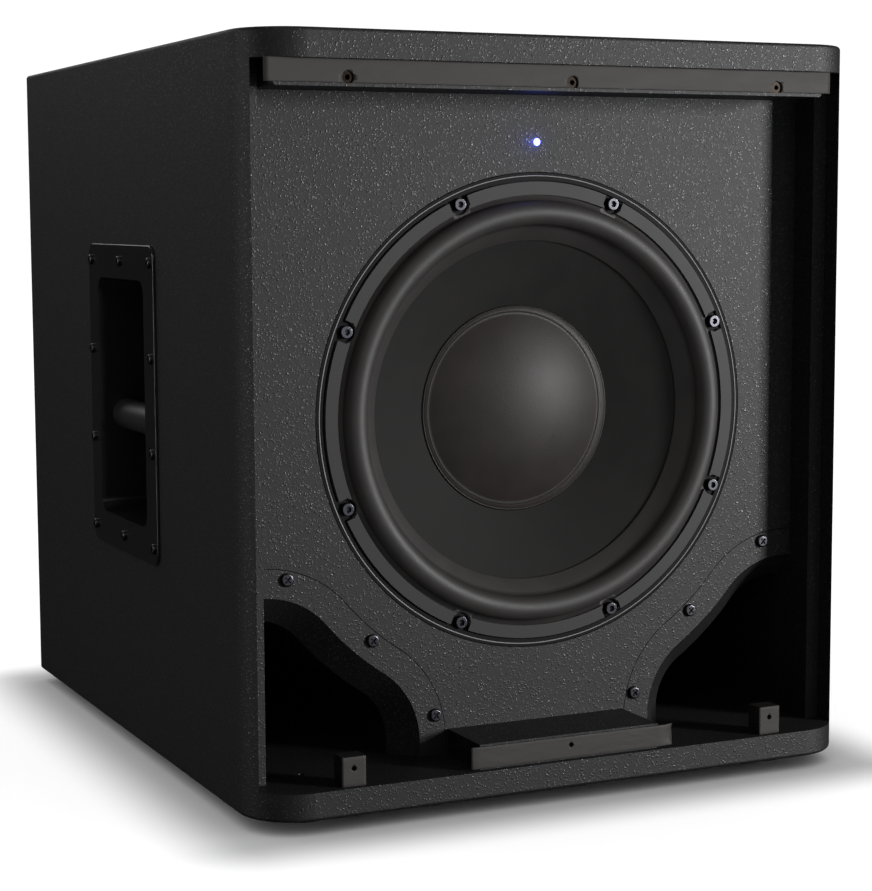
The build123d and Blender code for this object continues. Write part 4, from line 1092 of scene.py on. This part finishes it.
def batt(name):
    """A block thinned at its edges, with its lower face lifted into lumps and tufts."""
    shape = bmesh.new()
    bmesh.ops.create_cube(shape, size=1.0)
    bmesh.ops.subdivide_edges(shape, edges=shape.edges, cuts=BATT_CUTS, use_grid_fill=True)
    centre, size = (wad_low + wad_high) / 2, wad_high - wad_low
    for vertex in shape.verts:
        unit = vertex.co * 2
        squeeze = 1 - EDGE_SQUEEZE * (unit.x**8 + unit.y**8) / 2
        co = Vector((unit.x * size.x / 2, unit.y * size.y / 2, unit.z * size.z / 2 * squeeze))
        puff = noise.noise(co * LUMPS) * LUMP_HEIGHT + noise.noise(co * TUFTS) * TUFT_HEIGHT
        shrink = SIDE_SHRINK if abs(unit.z) < 0.99 else 1.0
        if unit.z < 0:
            co.z += size.z * SAG_SHARE + max(puff, DEEPEST_DENT)
        vertex.co = centre + Vector((co.x * shrink, co.y * shrink, co.z))
    mesh = bpy.data.meshes.new(name)
    shape.to_mesh(mesh)
    shape.free()
    for face in mesh.polygons:
        face.use_smooth = True
    piece = show(name, mesh)
    mesh.materials.append(materials["wadding"])
    return piece


wad = batt("wadding_batt")
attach(wad, "cabinet")
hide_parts("damping_wadding")
print("wadding", [round(v, 3) for v in wad_high - wad_low], "m")

# %% [markdown]
# ## Studio
#
# The cabinet stands on a plain white sweep. One tall soft box, ahead and to the right, draws the
# glitter on the baffle and the long highlight on the surround. A strip at the left marks the
# rounded corner, a wide panel behind the left side gives the side board its sheen, and one behind
# the right lights the back for anyone who walks round. The lamp in the baffle adds its own blue.

# %% Floor
FLOOR_HALF = 12.0
PAINTED_SHADOW_REACH = 0.07  # the sweep glows from beneath only beyond this distance from the cabinet, so the shadow nearer in is painted
GLOW_FULL = 0.62  # and this is how strongly
SEEN_LIGHT, PAPER_LIGHT, GLOSS_LIGHT = 1.05, 0.6, 0.02
floor_mesh = bpy.data.meshes.new("floor")
floor_mesh.from_pydata(
    [(sx * FLOOR_HALF, sy * FLOOR_HALF, floor_low) for sx, sy in ((-1, -1), (1, -1), (1, 1), (-1, 1))],
    [],
    [(0, 1, 2, 3)],
)
floor = show("floor", floor_mesh)
# Seamless paper off a roll: it takes light evenly and mirrors nothing.
paper, paper_tree, paper_shader, paper_place = start(
    "white_paper_sweep", **{"Roughness": 0.9, "Specular IOR Level": 0.0}
)
paper_noise = add(paper_tree, "TexNoise", {"Vector": paper_place, "Scale": 2.0})
mottle(paper_tree, paper_shader, paper_noise.outputs["Fac"], "#f2f2f2", "#f6f6f6", 0.9, 0.95)
half = (max(-cabinet_low.x, cabinet_high.x), max(-cabinet_low.y, cabinet_high.y), 1.0)
side = add(paper_tree, "VectorMath", {0: paper_place}, operation="ABSOLUTE")
past = add(paper_tree, "VectorMath", {0: side.outputs["Vector"], 1: half}, operation="SUBTRACT")
beyond = add(paper_tree, "VectorMath", {0: past.outputs["Vector"], 1: (0.0, 0.0, 0.0)}, operation="MAXIMUM")
reach = add(paper_tree, "VectorMath", {0: beyond.outputs["Vector"]}, operation="LENGTH")
# The glow fades out towards the cabinet's foot: a painted soft shadow round it.
away = add(
    paper_tree,
    "MapRange",
    {"Value": reach.outputs["Value"], "From Max": PAINTED_SHADOW_REACH, "To Max": GLOW_FULL},
    interpolation_type="SMOOTHSTEP",
)
paper_tree.links.new(away.outputs["Result"], paper_shader.inputs["Emission Strength"])
paper_shader.inputs["Emission Color"].default_value = linear("#ffffff")
floor_mesh.materials.append(paper)
floor.visible_glossy = False
print("floor at z", round(floor_low, 4))

# %% [markdown]
# The air round the cabinet does three jobs at once: the camera sees a white studio, the paper is
# lit by it, and the cabinet's gloss sees a dark room, so that only the soft boxes draw highlights.

# %% World
world = bpy.data.worlds.new("studio")
bpy.context.scene.world = world
world.use_nodes = True
sky = world.node_tree
sky.nodes.clear()
seen, spread, dark = (
    add(sky, "Background", {"Color": linear("#ffffff"), "Strength": strength}).outputs[0]
    for strength in (SEEN_LIGHT, PAPER_LIGHT, GLOSS_LIGHT)
)
ray = add(sky, "LightPath").outputs
light = add(sky, "MixShader", {0: ray["Is Diffuse Ray"], 1: dark, 2: spread})
both = add(sky, "MixShader", {0: ray["Is Camera Ray"], 1: light.outputs[0], 2: seen})
add(sky, "OutputWorld", {"Surface": both.outputs[0]})
print("world strengths", SEEN_LIGHT, PAPER_LIGHT, GLOSS_LIGHT)

# %% [markdown]
# The sweep has light of its own, so the soft boxes are kept off it: they would throw hard shadows.

# %% Lights
off_paper = bpy.data.collections.new("off_paper")
off_paper.objects.link(floor)
off_paper.collection_objects[0].light_linking.link_state = "EXCLUDE"


def soft_box(name, azimuth, elevation, distance, width, height, power, tint="#ffffff"):
    """azimuth 0 is straight in front and 90 is to the right, in degrees; the panel faces the driver."""
    a, e = math.radians(azimuth), math.radians(elevation)
    way = Vector((math.sin(a) * math.cos(e), -math.cos(a) * math.cos(e), math.sin(e)))
    target = Vector((0, 0, driver_z))
    lamp = bpy.data.lights.new(name, "AREA")
    lamp.shape = "RECTANGLE"
    lamp.size, lamp.size_y = width, height
    lamp.energy = power
    lamp.color = linear(tint)[:3]
    panel = show(name, lamp)
    panel.location = target + way * distance
    panel.rotation_euler = (-way).to_track_quat("-Z", "Y").to_euler()
    panel.visible_camera = False
    panel.light_linking.receiver_collection = off_paper
    print(name, [round(v, 2) for v in panel.location])


soft_box("key_box", 42, 6, 3.0, 0.4, 0.8, 105)
soft_box("front_fill", -22, 30, 3.2, 1.8, 1.2, 9, "#fff5ea")
soft_box("left_strip", -98, 4, 2.6, 0.2, 1.6, 18)
soft_box("low_bounce", 10, -4, 2.6, 1.6, 0.12, 3.0, "#e8eeff")
soft_box("rear_left_panel", -158, 28, 3.0, 1.6, 1.2, 10)
soft_box("rear_right_panel", 152, 5, 3.0, 1.8, 2.0, 60)
soft_box("overhead", 0, 88, 3.2, 3.4, 3.4, 12)

GLOW_POWER = 0.008
GLOW_RADIUS, GLOW_AHEAD = 1.5 * MM, 4 * MM
glow = bpy.data.lights.new("lamp_glow", "POINT")
glow.energy = GLOW_POWER
glow.color = linear(LAMP_BLUE)[:3]
glow.shadow_soft_size = GLOW_RADIUS
glow_place = show("lamp_glow", glow)
glow_place.location = lamp_tip + Vector((0, -GLOW_AHEAD, 0))

# %% [markdown]
# ## Exposure
#
# The standard view keeps black paint black and lets the sweep reach white.

bpy.context.scene.view_settings.view_transform = "Standard"
bpy.context.scene.view_settings.look = "None"
